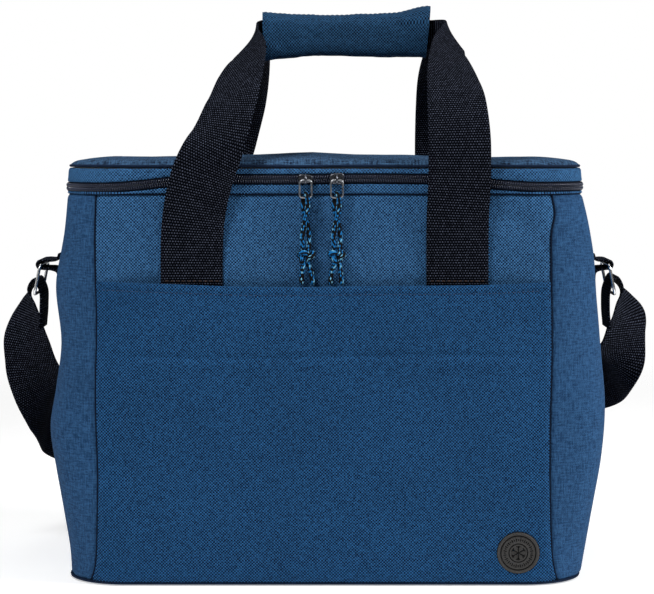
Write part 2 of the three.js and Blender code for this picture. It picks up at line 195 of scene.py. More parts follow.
def surface(name, points, uv=None, caps=False):
    """A grid of points, rows by columns, as one sheet. Its UVs are lengths on the cloth.

    Where each row is a closed ring, whose last point is its first, caps fills both ends.
    """
    rows, columns = points.shape[:2]
    if uv is None:
        uv = np.stack(np.meshgrid(walk(points[rows // 2]), walk(points[:, columns // 2])), -1)
    faces = grid_faces(rows, columns).tolist()
    if caps:
        last = (rows - 1) * columns
        faces.append(list(range(columns - 1))[::-1])
        faces.append([last + i for i in range(columns - 1)])
    return add_mesh(name, points.reshape(-1, 3), faces, uv.reshape(-1, 2))


FINE_WELD = 0.005  # joins only points that lie on each other
PAD_WELD = 0.01
RING_WELD = 0.02  # closes the small ring at the middle of a piece


def weld(obj, distance):
    """Joins points that lie within a distance, such as the two ends of a closed ring."""
    modifier = obj.modifiers.new("weld", "WELD")
    modifier.merge_threshold = distance * MM
    return obj


def flat_piece(name, points, distance=RING_WELD):
    """A surface of rings round a middle, whose UVs are its plan."""
    return weld(surface(name, points, points[..., :2].copy()), distance)


def thicken(obj, thick, offset=-1):
    modifier = obj.modifiers.new("thickness", "SOLIDIFY")
    modifier.thickness = thick * MM
    modifier.offset = offset
    return obj


def side_frames(path):
    """Two unit vectors across the path at each of its points, without twist."""
    along = unit(np.gradient(path, axis=0))
    first = np.cross(along[0], (0, 0, 1) if abs(along[0][2]) < 0.9 else (0, 1, 0))
    across = [first / np.linalg.norm(first)]
    for direction in along[1:]:
        moved = across[-1] - direction * (across[-1] @ direction)
        across.append(moved / np.linalg.norm(moved))
    across = np.array(across)
    return along, across, np.cross(along, across)


CAP_ANGLES = np.radians([35, 65, 88])


def tube(name, path, radius, sides=12, closed=False, swell=None):
    """A round tube along a path. swell(turn, length) adds to its radius."""
    path = np.asarray(path, float)
    if closed:
        path = np.vstack([path[-1], path, path[0], path[1]])
    along, across, other = side_frames(path)
    radii = np.full(len(path), float(radius))
    if closed:
        keep = slice(1, -1)
        path, across, other, radii = path[keep], across[keep], other[keep], radii[keep]
        across[-1], other[-1] = across[0], other[0]
    else:
        past, small = radius * np.sin(CAP_ANGLES)[:, None], np.cos(CAP_ANGLES)
        start, end = path[0] - along[0] * past, path[-1] + along[-1] * past
        path = np.vstack([start[::-1], path, end])
        shrink = np.concatenate([small[::-1], np.ones(len(radii)), small])
        across = np.vstack([[across[0]] * 3, across, [across[-1]] * 3])
        other = np.vstack([[other[0]] * 3, other, [other[-1]] * 3])
        radii = radius * shrink
    length = walk(path)
    turn = np.linspace(0, 1, sides + 1)
    reach = np.repeat(radii[:, None], sides + 1, 1)
    if swell is not None:
        reach = reach + swell(turn[None, :], length[:, None])
    angle = 2 * np.pi * turn[None, :, None]
    ring = across[:, None] * np.cos(angle) + other[:, None] * np.sin(angle)
    points = path[:, None] + ring * reach[..., None]
    uv = np.stack(np.meshgrid(turn * 2 * np.pi * radius, length), -1)
    return weld(surface(name, points, uv, caps=not closed), FINE_WELD)


def section_loop(width, thick, columns=14):
    """The outline of flat webbing across its length, with round edges."""
    half, edge = width / 2, thick / 2
    across = np.linspace(-half + edge, half - edge, columns)
    arc = np.linspace(-np.pi / 2, np.pi / 2, 5)[1:-1]
    right = np.stack([half - edge + edge * np.cos(arc), edge * np.sin(arc)], -1)
    top = np.stack([across[::-1], np.full(columns, edge)], -1)
    bottom = np.stack([across, np.full(columns, -edge)], -1)
    return np.vstack([bottom, right, top, -right, bottom[:1]])


def ribbon(name, stations, steps, thick=WEBBING_THICK):
    """Webbing through stations: x, y, z, the direction across it, and its width."""
    rows = smooth_path(stations, steps)
    middle = rows[:, :3]
    along = unit(np.gradient(middle, axis=0))
    across = rows[:, 3:6]
    across = unit(across - along * (across * along).sum(1)[:, None])
    face = np.cross(along, across)
    length = walk(middle)
    loop = section_loop(1.0, thick / WEBBING_WIDTH)
    a = loop[:, 0][None, :] * rows[:, 6][:, None]
    b = loop[:, 1][None, :] * WEBBING_WIDTH
    points = middle[:, None] + across[:, None] * a[..., None] + face[:, None] * b[..., None]
    flat = loop[:, 0] * WEBBING_WIDTH
    uv = np.stack(np.meshgrid(np.where(loop[:, 1] > 0, WEBBING_WIDTH * 2 - flat, flat), length), -1)
    return weld(surface(name, points, uv, caps=True), FINE_WELD)


def ball(rings=5, sides=8):
    """A unit ball as points and faces."""
    points = [(0, 0, -1)]
    for r in range(1, rings):
        lift = -math.cos(math.pi * r / rings)
        wide = math.sin(math.pi * r / rings)
        for s in range(sides):
            turn = 2 * math.pi * s / sides
            points.append((wide * math.cos(turn), wide * math.sin(turn), lift))
    points.append((0, 0, 1))
    faces = []
    for s in range(sides):
        n = (s + 1) % sides
        faces.append([0, 1 + n, 1 + s])
        last = 1 + (rings - 2) * sides
        faces.append([last + s, last + n, len(points) - 1])
        for r in range(rings - 2):
            low, high = 1 + r * sides, 1 + (r + 1) * sides
            faces.append([low + s, low + n, high + n, high + s])
    return np.array(points), faces


def copies(name, shape, origins, axes):
    """One mesh with a copy of a small shape at each origin, along its own three scaled axes."""
    points, faces = shape
    origins, axes = np.asarray(origins, float), np.asarray(axes, float)
    all_points = origins[:, None] + np.einsum("pk,nkj->npj", points, axes)
    all_faces = [[i + n * len(points) for i in f] for n in range(len(origins)) for f in faces]
    return add_mesh(name, all_points.reshape(-1, 3), all_faces)


def stitches(name, path, facing, length=2.4, gap=0.8, thick=0.3):
    """A row of sewn stitches along a path. facing is the way out of the cloth."""
    dense = smooth_path(path, 400)
    walked = walk(dense)
    count = max(1, int(walked[-1] / (length + gap)))
    middles = (np.arange(count) + 0.5) * walked[-1] / count
    at = at_lengths(dense, walked, middles)
    along = unit(at_lengths(dense, walked, middles + 0.5) - at_lengths(dense, walked, middles - 0.5))
    out = unit(np.broadcast_to(np.asarray(facing, float), along.shape))
    side = unit(np.cross(along, out))
    axes = np.stack([side * thick, out * thick, along * length / 2], 1)
    return copies(name, ball(), at, axes)


# ---- materials ---------------------------------------------------------------------------


class Value:
    """A number that a material works out. Arithmetic on it adds a node."""

    def __init__(self, shader, socket):
        self.shader = shader
        self.socket = socket

    def __add__(self, other):
        return self.shader.math("ADD", self, other)

    def __sub__(self, other):
        return self.shader.math("SUBTRACT", self, other)

    def __rsub__(self, other):
        return self.shader.math("SUBTRACT", other, self)

    def __mul__(self, other):
        return self.shader.math("MULTIPLY", self, other)

    def __truediv__(self, other):
        return self.shader.math("DIVIDE", self, other)

    def __mod__(self, other):
        return self.shader.math("FLOORED_MODULO", self, other)

    def __abs__(self):
        return self.shader.math("ABSOLUTE", self)


class Shader:
    """One material, with short calls for its nodes. A number, a socket or a Value may go in."""

    def __init__(self, name, colour, roughness, metallic=0.0, **sockets):
        self.material = bpy.data.materials.new(name)
        self.material.use_nodes = True
        self.nodes = self.material.node_tree.nodes
        self.links = self.material.node_tree.links
        self.skin = self.nodes["Principled BSDF"]
        self.skin.inputs["Base Color"].default_value = (*colour, 1)
        self.skin.inputs["Roughness"].default_value = roughness
        self.skin.inputs["Metallic"].default_value = metallic
        for socket, value in sockets.items():
            self.skin.inputs[socket.replace("_", " ")].default_value = value

    def put(self, socket, value):
        if isinstance(value, Value):
            value = value.socket
        if isinstance(value, bpy.types.NodeSocket):
            self.links.new(value, socket)
        else:
            socket.default_value = value

    def math(self, operation, *values, clamp=False):
        node = self.nodes.new("ShaderNodeMath")
        node.operation = operation
        node.use_clamp = clamp
        for socket, value in zip(node.inputs, values):
            self.put(socket, value)
        return Value(self, node.outputs[0])

    def floor(self, value):
        return self.math("FLOOR", value)

    def off_centre(self, value):
        """Signed distance from the middle of each whole step, from -0.5 to 0.5."""
        return self.math("FRACT", value) - 0.5

    def ribs(self, value, pitch):
        """A row of round ridges, from 0 to 1, one for each pitch."""
        return abs(self.math("SINE", value * (math.pi / pitch)))

    def uv(self):
        """Lengths across and along the cloth, in millimetres."""
        node = self.nodes.new("ShaderNodeSeparateXYZ")
        self.links.new(self.nodes.new("ShaderNodeUVMap").outputs[0], node.inputs[0])
        return [self.math("MULTIPLY", node.outputs[k], 1 / MM) for k in (0, 1)]

    def place(self):
        return self.nodes.new("ShaderNodeTexCoord").outputs["Object"]

    def pair(self, a, b):
        node = self.nodes.new("ShaderNodeCombineXYZ")
        self.put(node.inputs[0], a)
        self.put(node.inputs[1], b)
        return node.outputs[0]

    def noise(self, where, scale, detail=2.0, flat=False):
        node = self.nodes.new("ShaderNodeTexNoise")
        node.noise_dimensions = "2D" if flat else "3D"
        self.put(node.inputs["Vector"], where)
        node.inputs["Scale"].default_value = scale
        node.inputs["Detail"].default_value = detail
        return Value(self, node.outputs["Fac"])

    def specks(self, a, b):
        """A random number for each whole pair of numbers."""
        node = self.nodes.new("ShaderNodeTexWhiteNoise")
        node.noise_dimensions = "2D"
        self.put(node.inputs["Vector"], self.pair(a, b))
        return Value(self, node.outputs["Value"])

    def stretch(self, value, low, high, to_low=0.0, to_high=1.0):
        node = self.nodes.new("ShaderNodeMapRange")
        self.put(node.inputs["Value"], value)
        for socket, number in zip(("From Min", "From Max", "To Min", "To Max"),
                                  (low, high, to_low, to_high)):
            node.inputs[socket].default_value = number
        return Value(self, node.outputs["Result"])

    def mix(self, share, a, b):
        """Between two colours."""
        node = self.nodes.new("ShaderNodeMix")
        node.data_type = "RGBA"
        self.put(node.inputs["Factor"], share)
        self.put(node.inputs[6], (*a, 1) if isinstance(a, tuple) else a)
        self.put(node.inputs[7], (*b, 1) if isinstance(b, tuple) else b)
        return node.outputs[2]

    def colour(self, base, amount):
        """Sets the colour to base, a tuple or a socket, times a number."""
        node = self.nodes.new("ShaderNodeVectorMath")
        node.operation = "SCALE"
        self.put(node.inputs[0], self.mix(0.0, base, base) if isinstance(base, tuple) else base)
        self.put(node.inputs["Scale"], amount)
        self.put(self.skin.inputs["Base Color"], node.outputs[0])

    def rough(self, value):
        self.put(self.skin.inputs["Roughness"], value)

    def bump(self, height, depth, strength=1.0):
        """Raises the surface by up to depth millimetres."""
        node = self.nodes.new("ShaderNodeBump")
        node.inputs["Strength"].default_value = strength
        node.inputs["Distance"].default_value = depth * MM
        self.put(node.inputs["Height"], height)
        self.links.new(node.outputs[0], self.skin.inputs["Normal"])


def srgb(red, green, blue):
    """A colour given in the usual 0 to 255 as the linear numbers that shaders take."""
    shares = [c / 255 for c in (red, green, blue)]
    return tuple(c / 12.92 if c <= 0.04045 else ((c + 0.055) / 1.055) ** 2.4 for c in shares)


def heather(name, dark, light, pitch, contrast, streaks, weave, run=0.3):
    """Plain-woven melange polyester: each thread drifts between two dyes along its length.

    run is how fast it drifts, for each thread that it crosses. weave is how much lighter
    the threads one way are than those the other way.
    """
    s = Shader(name, light, 0.92, Specular_IOR_Level=0.1)
    u, v = s.uv()
    a, b = u / pitch, v / pitch
    column, row = s.floor(a), s.floor(b)
    over = (column + row) % 2
    under = 1 - over
    warp = s.noise(s.pair(a, b * run), 0.9, 3, flat=True)
    weft = s.noise(s.pair(a * run, b), 0.9, 3, flat=True)
    thread = s.stretch(warp * over + weft * under, 0.34, 0.66)
    long_streak = s.stretch(warp + weft, 0.75, 1.25)
    tone = thread * 0.5 + s.specks(column, row) * 0.5
    tone = tone * (1 - streaks - weave) + long_streak * streaks + over * weave
    tone = s.stretch(tone, 0.5 - 0.5 / contrast, 0.5 + 0.5 / contrast)
    ridge = abs(s.off_centre(a)) * over + abs(s.off_centre(b)) * under
    height = 1 - ridge * ridge * 4
    patch = s.stretch(s.noise(s.place(), 22, 3), 0.3, 0.7, 0.93, 1.07)
    # The thread profile also scales the colour: painted shade in the gaps between threads. patch is
    # the cloth's own mottling.
    s.colour(s.mix(tone, dark, light), patch * s.stretch(height, 0, 1, 0.8, 1.05))
    s.bump(height, 0.16, 0.7)
    return s.material


FLOAT_PITCH = 1.65  # of the webbing's warp floats, across it
FLOAT_ROW = 1.6


def woven_belt(name, dark, light):
    """Narrow nylon webbing: staggered rows of small round warp floats, each with a painted highlight
    on its crown.
    """
    s = Shader(name, dark, 0.75, Specular_IOR_Level=0.02)
    u, v = s.uv()
    b = v / FLOAT_ROW
    row = s.floor(b)
    a = u / FLOAT_PITCH + row % 2 * 0.5
    da, db = s.off_centre(a) / 0.4, s.off_centre(b) / 0.34
    crown = s.math("SUBTRACT", 1, da * da + db * db, clamp=True)
    speck = s.stretch(s.specks(s.floor(a), row), 0, 1, 0.35, 1.0)
    # Painted highlight: the light colour lies on each float's crown, brightest at its top.
    lit = s.math("POWER", crown, 1.4) * speck
    fibre = s.stretch(s.noise(s.pair(u * 5, v * 0.8), 1, 2, flat=True), 0.3, 0.7, 0.7, 1.2)
    s.colour(s.mix(lit, dark, light), fibre)
    s.bump(s.math("SQRT", crown), 0.5)
    return s.material


RIB_PITCH = 0.6


def plain_cloth(name, tone):
    """Tape and binding: fine ribs both ways."""
    s = Shader(name, tone, 0.8, Specular_IOR_Level=0.1)
    u, v = s.uv()
    height = s.ribs(v, RIB_PITCH) * s.ribs(u, RIB_PITCH)
    patch = s.stretch(s.noise(s.place(), 300, 2), 0.3, 0.7, 0.8, 1.25)
    # The rib profile scales the colour: painted shade in the gaps and a painted highlight on the
    # crowns. patch is random tone.
    s.colour(tone, patch * s.stretch(height, 0, 1, 0.75, 1.15))
    s.bump(height, 0.12)
    return s.material


def speckled(name, tone, roughness, scale, depth, spread=0.12, **sockets):
    """A plain stuff with fine grain: foam, rubber, board, nylon or thread."""
    s = Shader(name, tone, roughness, **sockets)
    grain = s.noise(s.place(), scale, 4)
    s.colour(tone, s.stretch(grain, 0.3, 0.7, 1 - spread, 1 + spread))
    s.rough(s.stretch(grain, 0.3, 0.7, roughness * 0.88, min(1, roughness * 1.12)))
    s.bump(grain, depth)
    return s.material


def brushed(name, tone, roughness):
    """Plated wire and die-cast metal with faint scuffs."""
    s = Shader(name, tone, roughness, 1.0)
    scuff = s.noise(s.place(), 900, 3)
    wear = s.noise(s.place(), 120, 2)
    s.rough(s.stretch(scuff, 0.35, 0.65, roughness * 0.8, roughness * 1.3))
    s.colour(tone, s.stretch(wear, 0.3, 0.7, 0.85, 1.05))
    s.bump(scuff, 0.02)
    return s.material


CORD = 3.0  # the paracord's diameter
BRAID_STRANDS = 8
BRAID_PITCH = 2.1


def braid(name, dark, bright, pale):
    """Paracord sheath: diamonds of twisted strands, some dyed, on a dark ground."""
    s = Shader(name, dark, 0.75, Specular_IOR_Level=0.12)
    u, v = s.uv()
    a = u * (BRAID_STRANDS / (math.pi * CORD))
    b = v / BRAID_PITCH
    p, q = a + b, a - b
    cell = s.specks(s.floor(p), s.floor(q))
    far = s.math("MAXIMUM", abs(s.off_centre(p)), abs(s.off_centre(q)))
    height = 1 - far * 1.8
    dyed = s.math("GREATER_THAN", cell, 0.72)
    light = s.math("GREATER_THAN", cell, 0.93)
    shade = s.mix(light, s.mix(dyed, dark, bright), pale)
    # The strand profile scales the colour: painted shade between the strands and a painted highlight
    # on their crowns.
    s.colour(shade, s.stretch(height, 0, 1, 0.5, 1.15))
    s.bump(height, 0.35)
    return s.material


SCRIM_PITCH = 2.5


def film(name, tone):
    """Silvered wipe-clean film, heat-pressed on a fine scrim."""
    s = Shader(name, tone, 0.34, 0.55)
    u, v = s.uv()
    scrim = s.ribs(u, SCRIM_PITCH) * s.ribs(v, SCRIM_PITCH)
    crease = s.noise(s.place(), 38, 5)
    s.rough(s.stretch(crease, 0.3, 0.7, 0.24, 0.46))
    s.bump(scrim * 0.12 + crease, 1.6, 0.7)
    return s.material


FABRIC = heather("heather_front", srgb(4, 20, 46), srgb(62, 112, 160), 0.98, 1.55, 0.0, 0.52)
# A darker copy of the front heather for the pocket: painted shade, since the pocket is lit less than
# the panel above it.
SHADED_POCKET_CLOTH = heather("heather_pocket_painted_shade", srgb(1, 12, 36), srgb(38, 89, 137), 0.98, 1.6, 0.0, 0.52)
# A darker copy of the front heather for the grip wrap: painted shade.
SHADED_GRIP_CLOTH = heather("heather_grip_painted_shade", srgb(1, 11, 28), srgb(37, 76, 111), 0.98, 1.7, 0.0, 0.52)
GUSSET = heather("heather_side", srgb(12, 40, 72), srgb(52, 92, 134), 0.86, 0.85, 0.4, 0.0, 0.15)
LID_CLOTH = heather("heather_lid", srgb(9, 23, 44), srgb(60, 92, 125), 0.95, 1.5, 0.4, 0.0, 0.12)
# The second colour is the painted highlight on the webbing's floats.
WEBBING = woven_belt("webbing_navy", srgb(1, 2, 6), srgb(82, 88, 106))
TAPE = plain_cloth("zip_tape_navy", srgb(9, 15, 30))
BINDING = plain_cloth("binding_navy", srgb(14, 30, 54))
SEAM = speckled("seam_thread", srgb(7, 18, 36), 0.9, 900, 0.05, Specular_IOR_Level=0.1)
THREAD = speckled("thread_navy", srgb(24, 52, 88), 0.7, 1400, 0.04, spread=0.3)
DARK_THREAD = speckled("thread_black", srgb(16, 18, 26), 0.7, 1400, 0.04, spread=0.3)
BROWN_THREAD = speckled("thread_brown", srgb(58, 40, 34), 0.7, 1400, 0.04, spread=0.3)
NYLON = speckled("zip_nylon", srgb(40, 46, 64), 0.24, 1500, 0.02)
STEEL = brushed("plated_steel", (0.78, 0.79, 0.8), 0.2)
PULL_STEEL = brushed("puller_steel", (0.34, 0.35, 0.37), 0.3)
GUNMETAL = brushed("gunmetal", (0.1, 0.105, 0.12), 0.3)
PARACORD = braid("paracord_sheath", srgb(4, 5, 10), srgb(22, 118, 186), srgb(120, 190, 225))
RUBBER = speckled("badge_rubber", srgb(60, 59, 58), 0.6, 700, 0.05, Specular_IOR_Level=0.12)
# Near-black rubber for the badge's rings and marks: painted shade standing in for the shadow in its
# engraved grooves.
GROOVE_SHADE_RUBBER = speckled("badge_groove_shade", srgb(9, 9, 10), 0.8, 700, 0.05, Specular_IOR_Level=0.1)
FOAM = speckled("closed_cell_foam", srgb(214, 216, 212), 0.9, 420, 0.5)
BOARD = speckled("base_board", srgb(40, 42, 48), 0.7, 500, 0.1)
LINER = film("liner_film", srgb(186, 190, 196))
FUZZ = speckled("loop_pile", srgb(16, 18, 26), 0.95, 2600, 0.6, spread=0.35, Sheen_Weight=0.3)


def dress(obj, material, body, stands_for=()):
    """Gives a piece its material, slot, CAD body and the CAD nodes that it stands for."""
    obj.data.materials.append(material)
    if stands_for:
        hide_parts(*stands_for)
    if body:
        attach(obj, body)
    return obj


def repaint(node, material):
    """Gives a hard CAD node that stays in view its material."""
    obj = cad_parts[node]
    obj.data.materials.clear()
    obj.data.materials.append(material)
    return obj


# ---- camera, lights and floor ------------------------------------------------------------


def add_camera():
    data = bpy.data.cameras.new("camera")
    data.sensor_width = 36
    data.lens = 121
    camera = bpy.data.objects.new("camera", data)
    camera.location = (0.0015, -1.44, 0.28)
    camera.rotation_euler = (math.radians(90 - 4.3), 0, 0)
    bpy.context.scene.collection.objects.link(camera)
    bpy.context.scene.camera = camera


def add_light(name, place, aim, size, power):
    data = bpy.data.lights.new(name, "AREA")
    data.shape = "RECTANGLE"
    data.size, data.size_y = size
    data.energy = power
    light = bpy.data.objects.new(name, data)
    light.location = place
    light.rotation_euler = (Vector(aim) - Vector(place)).to_track_quat("-Z", "Y").to_euler()
    bpy.context.scene.collection.objects.link(light)


def add_studio():
    middle = (0, 0, 0.15)
    add_light("key", (-0.35, -0.45, 0.84), (0, 0, 0.2), (0.25, 0.25), 5.2)
    add_light("right", (1.25, -0.36, 0.95), middle, (0.5, 0.5), 21)
    add_light("left", (-1.5, -0.2, 0.6), middle, (0.8, 0.8), 2.5)
    add_light("top", (0.1, 0.35, 1.6), middle, (1.2, 1.2), 5.5)
    world = bpy.data.worlds.new("studio")
    world.use_nodes = True
    nodes, links = world.node_tree.nodes, world.node_tree.links
    seen = nodes.new("ShaderNodeLightPath").outputs["Is Camera Ray"]
    strength = nodes.new("ShaderNodeMapRange")
    strength.inputs["To Min"].default_value = 0.11
    strength.inputs["To Max"].default_value = 1.0
    links.new(seen, strength.inputs["Value"])
    background = nodes["Background"]
    background.inputs["Color"].default_value = (1, 1, 1, 1)
    links.new(strength.outputs["Result"], background.inputs["Strength"])
    bpy.context.scene.world = world
    bpy.context.scene.view_settings.view_transform = "Standard"


FLOOR_NEAR, FLOOR_FAR = 0.55, 1.25  # the paper fades into the white backdrop, in metres


def add_floor():
    turn = np.linspace(0, 2 * np.pi, 65)[:-1]
    size = FLOOR_FAR * 1.1 / MM
    points = [(size * math.cos(t), size * math.sin(t), -0.3) for t in turn]
    floor = add_mesh("floor", points, [list(range(len(points)))], np.zeros((len(points), 2)))
    paper = Shader("floor_paper", (0.84, 0.84, 0.84), 0.9)
    grain = paper.noise(paper.place(), 60, 3)
    paper.rough(paper.stretch(grain, 0.3, 0.7, 0.85, 0.95))
    far = paper.nodes.new("ShaderNodeVectorMath")
    far.operation = "LENGTH"
    paper.links.new(paper.place(), far.inputs[0])
    paper.put(paper.skin.inputs["Alpha"],
              paper.stretch(far.outputs["Value"], FLOOR_NEAR, FLOOR_FAR, 1, 0))
    paper.skin.inputs["Emission Color"].default_value = (1, 1, 1, 1)
    paper.skin.inputs["Emission Strength"].default_value = 0.42
    floor.data.materials.append(paper.material)


# ---- zip pulls: the cords come first -----------------------------------------------------

PULLER_WIRE = 1.2
PULLER_WIDTH, PULLER_HEIGHT, PULLER_CORNER = 8.4, 11.8, 1.9
KNOT_LOW, KNOT_HIGH = cad("pull_knot_left")
KNOT_Y = cad_middle("pull_knot_left")[1]


def pull_route(x, bar, side, tail_x):
    """One strand: over the puller's bar, down to the knot, through it and out as a tail."""
    y = KNOT_Y
    knot_top, tail_end = KNOT_HIGH[2], KNOT_LOW[2]
    apart = PULLER_WIRE / 2 + CORD / 2 + 0.5
    return [
        (x, y, bar + apart),
        (x + side * 0.7, y - side * apart * 0.75, bar + apart * 0.6),
        (x + side * 1.2, y - side * apart, bar - 0.6),
        (x + side * 1.5, y - side * 1.9, bar - 6),
        (x - side * 0.4, y - side * 1.7, bar - 14),
        (x - side * 1.9, y - side * 0.6, bar - 22),
        (x - side * 1.7, y, knot_top + 1),
        (x - side * 1.2, y + side * 0.8, knot_top - 5),
        (x + side * 1.2, y + side * 0.8, knot_top - 9),
        (x + tail_x * 0.8, y - 0.3, tail_end + 8),
        (x + tail_x, y - 0.6, tail_end + 1.5),
    ]


def knot_path(x, lean):
    """A loose overhand knot around both strands."""
    t = np.linspace(0, 2 * np.pi, 73)[:-1]
    wide = (np.sin(t) + 2 * np.sin(2 * t)) * 1.55
    tall = (np.cos(t) - 2 * np.cos(2 * t)) * 1.15
    deep = -np.sin(3 * t) * 2.1
    return np.stack([x + wide + tall * lean, KNOT_Y + deep, KNOT_HIGH[2] - 4.6 + tall], -1)


def braided(turn, length):
    """The small lumps of the sheath's strands."""
    a, b = turn * BRAID_STRANDS, length / BRAID_PITCH
    return 0.1 * np.abs(np.sin(np.pi * (a + b)) * np.sin(np.pi * (a - b))) - 0.05


def add_pull(side, lean):
    x = cad_middle(f"zip_puller_{side}")[0]
    bar = cad(f"zip_puller_{side}")[0][2] + PULLER_WIRE / 2
    body = f"pull_{side}"
    knot = tube(f"knot_{side}", knot_path(x, lean), CORD / 2, 14, closed=True, swell=braided)
    dress(knot, PARACORD, body, [f"pull_knot_{side}"])
    for number, way in enumerate((1, -1)):
        route = smooth_path(pull_route(x, bar, way, way * 3.4 + lean * 3), 110)
        strand = tube(f"pull_strand_{side}_{number + 1}", route, CORD / 2, 14, swell=braided)
        dress(strand, PARACORD, body, [f"pull_cord_{side}"])
        tuple(route[0] * MM)
        (route * MM).tolist()
    ring = rounded_rectangle(PULLER_WIDTH - PULLER_WIRE, PULLER_HEIGHT - PULLER_WIRE, PULLER_CORNER)
    middle = cad_middle(f"zip_puller_{side}")
    path = np.stack([ring[:, 0] + x, np.full(len(ring), middle[1]), ring[:, 1] + middle[2]], -1)
    puller = tube(f"puller_wire_{side}", path, PULLER_WIRE / 2, 12, closed=True)
    dress(puller, PULL_STEEL, body, [f"zip_puller_{side}"])


def rounded_rectangle(width, height, radius, steps=8):
    """Points round a rectangle with round corners."""
    points = []
    for turn, (sx, sy) in enumerate([(1, 1), (-1, 1), (-1, -1), (1, -1)]):
        for step in range(steps + 1):
            angle = math.pi / 2 * (turn + step / steps)
            x = sx * (width / 2 - radius) + radius * math.cos(angle)
            y = sy * (height / 2 - radius) + radius * math.sin(angle)
            points.append((x, y))
    dense = np.array(points + [points[0]])
    walked = walk(dense)
    at = np.linspace(0, walked[-1], 81)[:-1]
    return at_lengths(dense, walked, at)


add_camera()
add_studio()
add_floor()
add_pull("left", 0.25)
add_pull("right", -0.2)


# ---- the body's shape --------------------------------------------------------------------


def swell(z):
    return np.sin(np.pi * np.clip(np.asarray(z, float) / SWELL_HEIGHT, 0, 1))


def half_width(side, z):
    heights, widths = zip(*(LEFT_SIDE if side < 0 else RIGHT_SIDE))
    return spline(heights, widths, np.clip(z, 0, SEAM_TOP)) - SIDE_BOW * swell(z)


def seam_x(side, z):
    """Where the upright seam lies, from the middle. It flares out at the foot."""
    z = np.asarray(z, float)
    if side < 0:
        return 140.2 + 6.4 * np.exp(-z / 9) + 0.5 * np.sin(z / 15)
    return 138.9 + 6.8 * np.exp(-z / 14) + 2.2 * bell(z, 230, 8) + 0.4 * np.sin(z / 19)


def edge_depth(z):
    return HALF_DEPTH + DEPTH_SWELL * swell(z)


def face_depth(x, z):
    """How far the front or the back stands out from the middle of the bag."""
    wide = np.where(np.asarray(x) < 0, half_width(-1, z), half_width(1, z))
    flat = wide - CORNER
    over = np.clip(np.abs(x) - flat, 0, CORNER)
    corner = edge_depth(z) - CORNER + np.sqrt(CORNER**2 - over**2)
    return corner + FACE_BOW * swell(z) * np.clip(1 - (x / flat) ** 2, 0, 1) ** 1.3


def gusset_points(side, share, z):
    """Points round a gusset from its front seam to its back seam, and the ways out of it."""
    wide = half_width(side, z)
    deep = edge_depth(z) - CORNER
    start = np.arcsin(np.clip((seam_x(side, z) - (wide - CORNER)) / CORNER, -1, 1))
    arc = CORNER * (np.pi / 2 - start)
    length = 2 * (arc + deep)
    s = share * length
    late = np.clip(s - (length - arc), 0, None)
    turn = start + (np.clip(s, 0, arc) + late) / CORNER
    y = -deep + np.clip(s - arc, 0, 2 * deep) - CORNER * np.cos(turn)
    x = wide - CORNER + CORNER * np.sin(turn)
    x = x + SIDE_BOW * swell(z) * np.cos(np.pi / 2 * y / (deep + CORNER)) ** 2
    points = np.stack([side * x, y, np.broadcast_to(z, x.shape)], -1)
    out = np.stack([side * np.sin(turn), -np.cos(turn), np.zeros_like(turn)], -1)
    return points, out, s, length


SEAM_DIP = 1.3


def seam_dip(distance):
    """Cloth rolls inwards beside a seam, over a couple of millimetres."""
    return -SEAM_DIP * np.exp(-((distance / 1.7) ** 2))


def pucker(distance, along, seed):
    """Small ripples that the thread's pull leaves beside a seam."""
    return 0.32 * ripple(along, 0 * along, 6.5, seed) * np.exp(-((distance / 9) ** 2))


PANEL_FOOT = 1.2


def panel_heights(top, count=110):
    return (PANEL_FOOT + (top - PANEL_FOOT) * ends_close(count))[:, None]


def face_relief(x, z, left, right, seed):
    """Folds and puckers of the front or back panel."""
    edge = np.minimum(x - left, right - x)
    free = fade(0, 25, edge)
    relief = 0.8 * ripple(x * 0.7, z * 1.3, 46, seed) * free
    relief = relief + 0.3 * ripple(x, z * 1.6, 17, seed + 3) * free
    slant = (x - 112) * 0.5 + (z - 214) * 0.9
    relief = relief + 0.9 * bell(slant, 0, 6) * bell(x, 108, 26) * bell(z, 214, 22)
    relief = relief - 0.7 * bell(slant, 13, 5) * bell(x, 112, 22) * bell(z, 222, 18)
    relief = relief + pucker(edge, z, seed + 7)
    return relief + seam_dip(edge) + seam_dip(SEAM_TOP - z) + 1.4 * seam_dip(z - PANEL_FOOT)


def add_face(side_y, name, node):
    z = panel_heights(SEAM_TOP)
    left, right = -seam_x(-1, z), seam_x(1, z)
    share = ends_close(170)[None, :]
    x = left + (right - left) * share
    seed = 3.0 if side_y < 0 else 31.0
    depth = face_depth(x, z) + face_relief(x, z, left, right, seed)
    points = np.stack([x, side_y * depth, z + 0 * x], -1)
    uv = np.stack([x, z + 0 * x], -1)
    if side_y > 0:
        points, uv = points[:, ::-1], uv[:, ::-1]
    dress(thicken(surface(name, points, uv), 1.2), FABRIC, "cooler_body", [node])


def gusset_relief(s, z, length, seed):
    edge = np.minimum(s, length - s)
    free = fade(0, 18, edge)
    upright = 1.1 * ripple(s, z * 0.32, 22, seed) * free
    soft = 1.2 * ripple(s * 0.8, z, 52, seed + 5) * free
    relief = upright + soft + pucker(edge, z, seed + 9)
    return relief + seam_dip(edge) + seam_dip(SEAM_TOP - z) + 1.4 * seam_dip(z - PANEL_FOOT)


def add_gusset(side, name, node):
    z = panel_heights(SEAM_TOP)
    share = ends_close(120)[None, :]
    points, out, s, length = gusset_points(side, share, z + 0 * share)
    points = points + out * gusset_relief(s, z + 0 * s, length, 11.0 + side)[..., None]
    uv = np.stack([s + side * 500, z + 0 * s], -1)
    if side < 0:
        points, uv = points[:, ::-1], uv[:, ::-1]
    dress(thicken(surface(name, points, uv), 1.2), GUSSET, "cooler_body", [node])


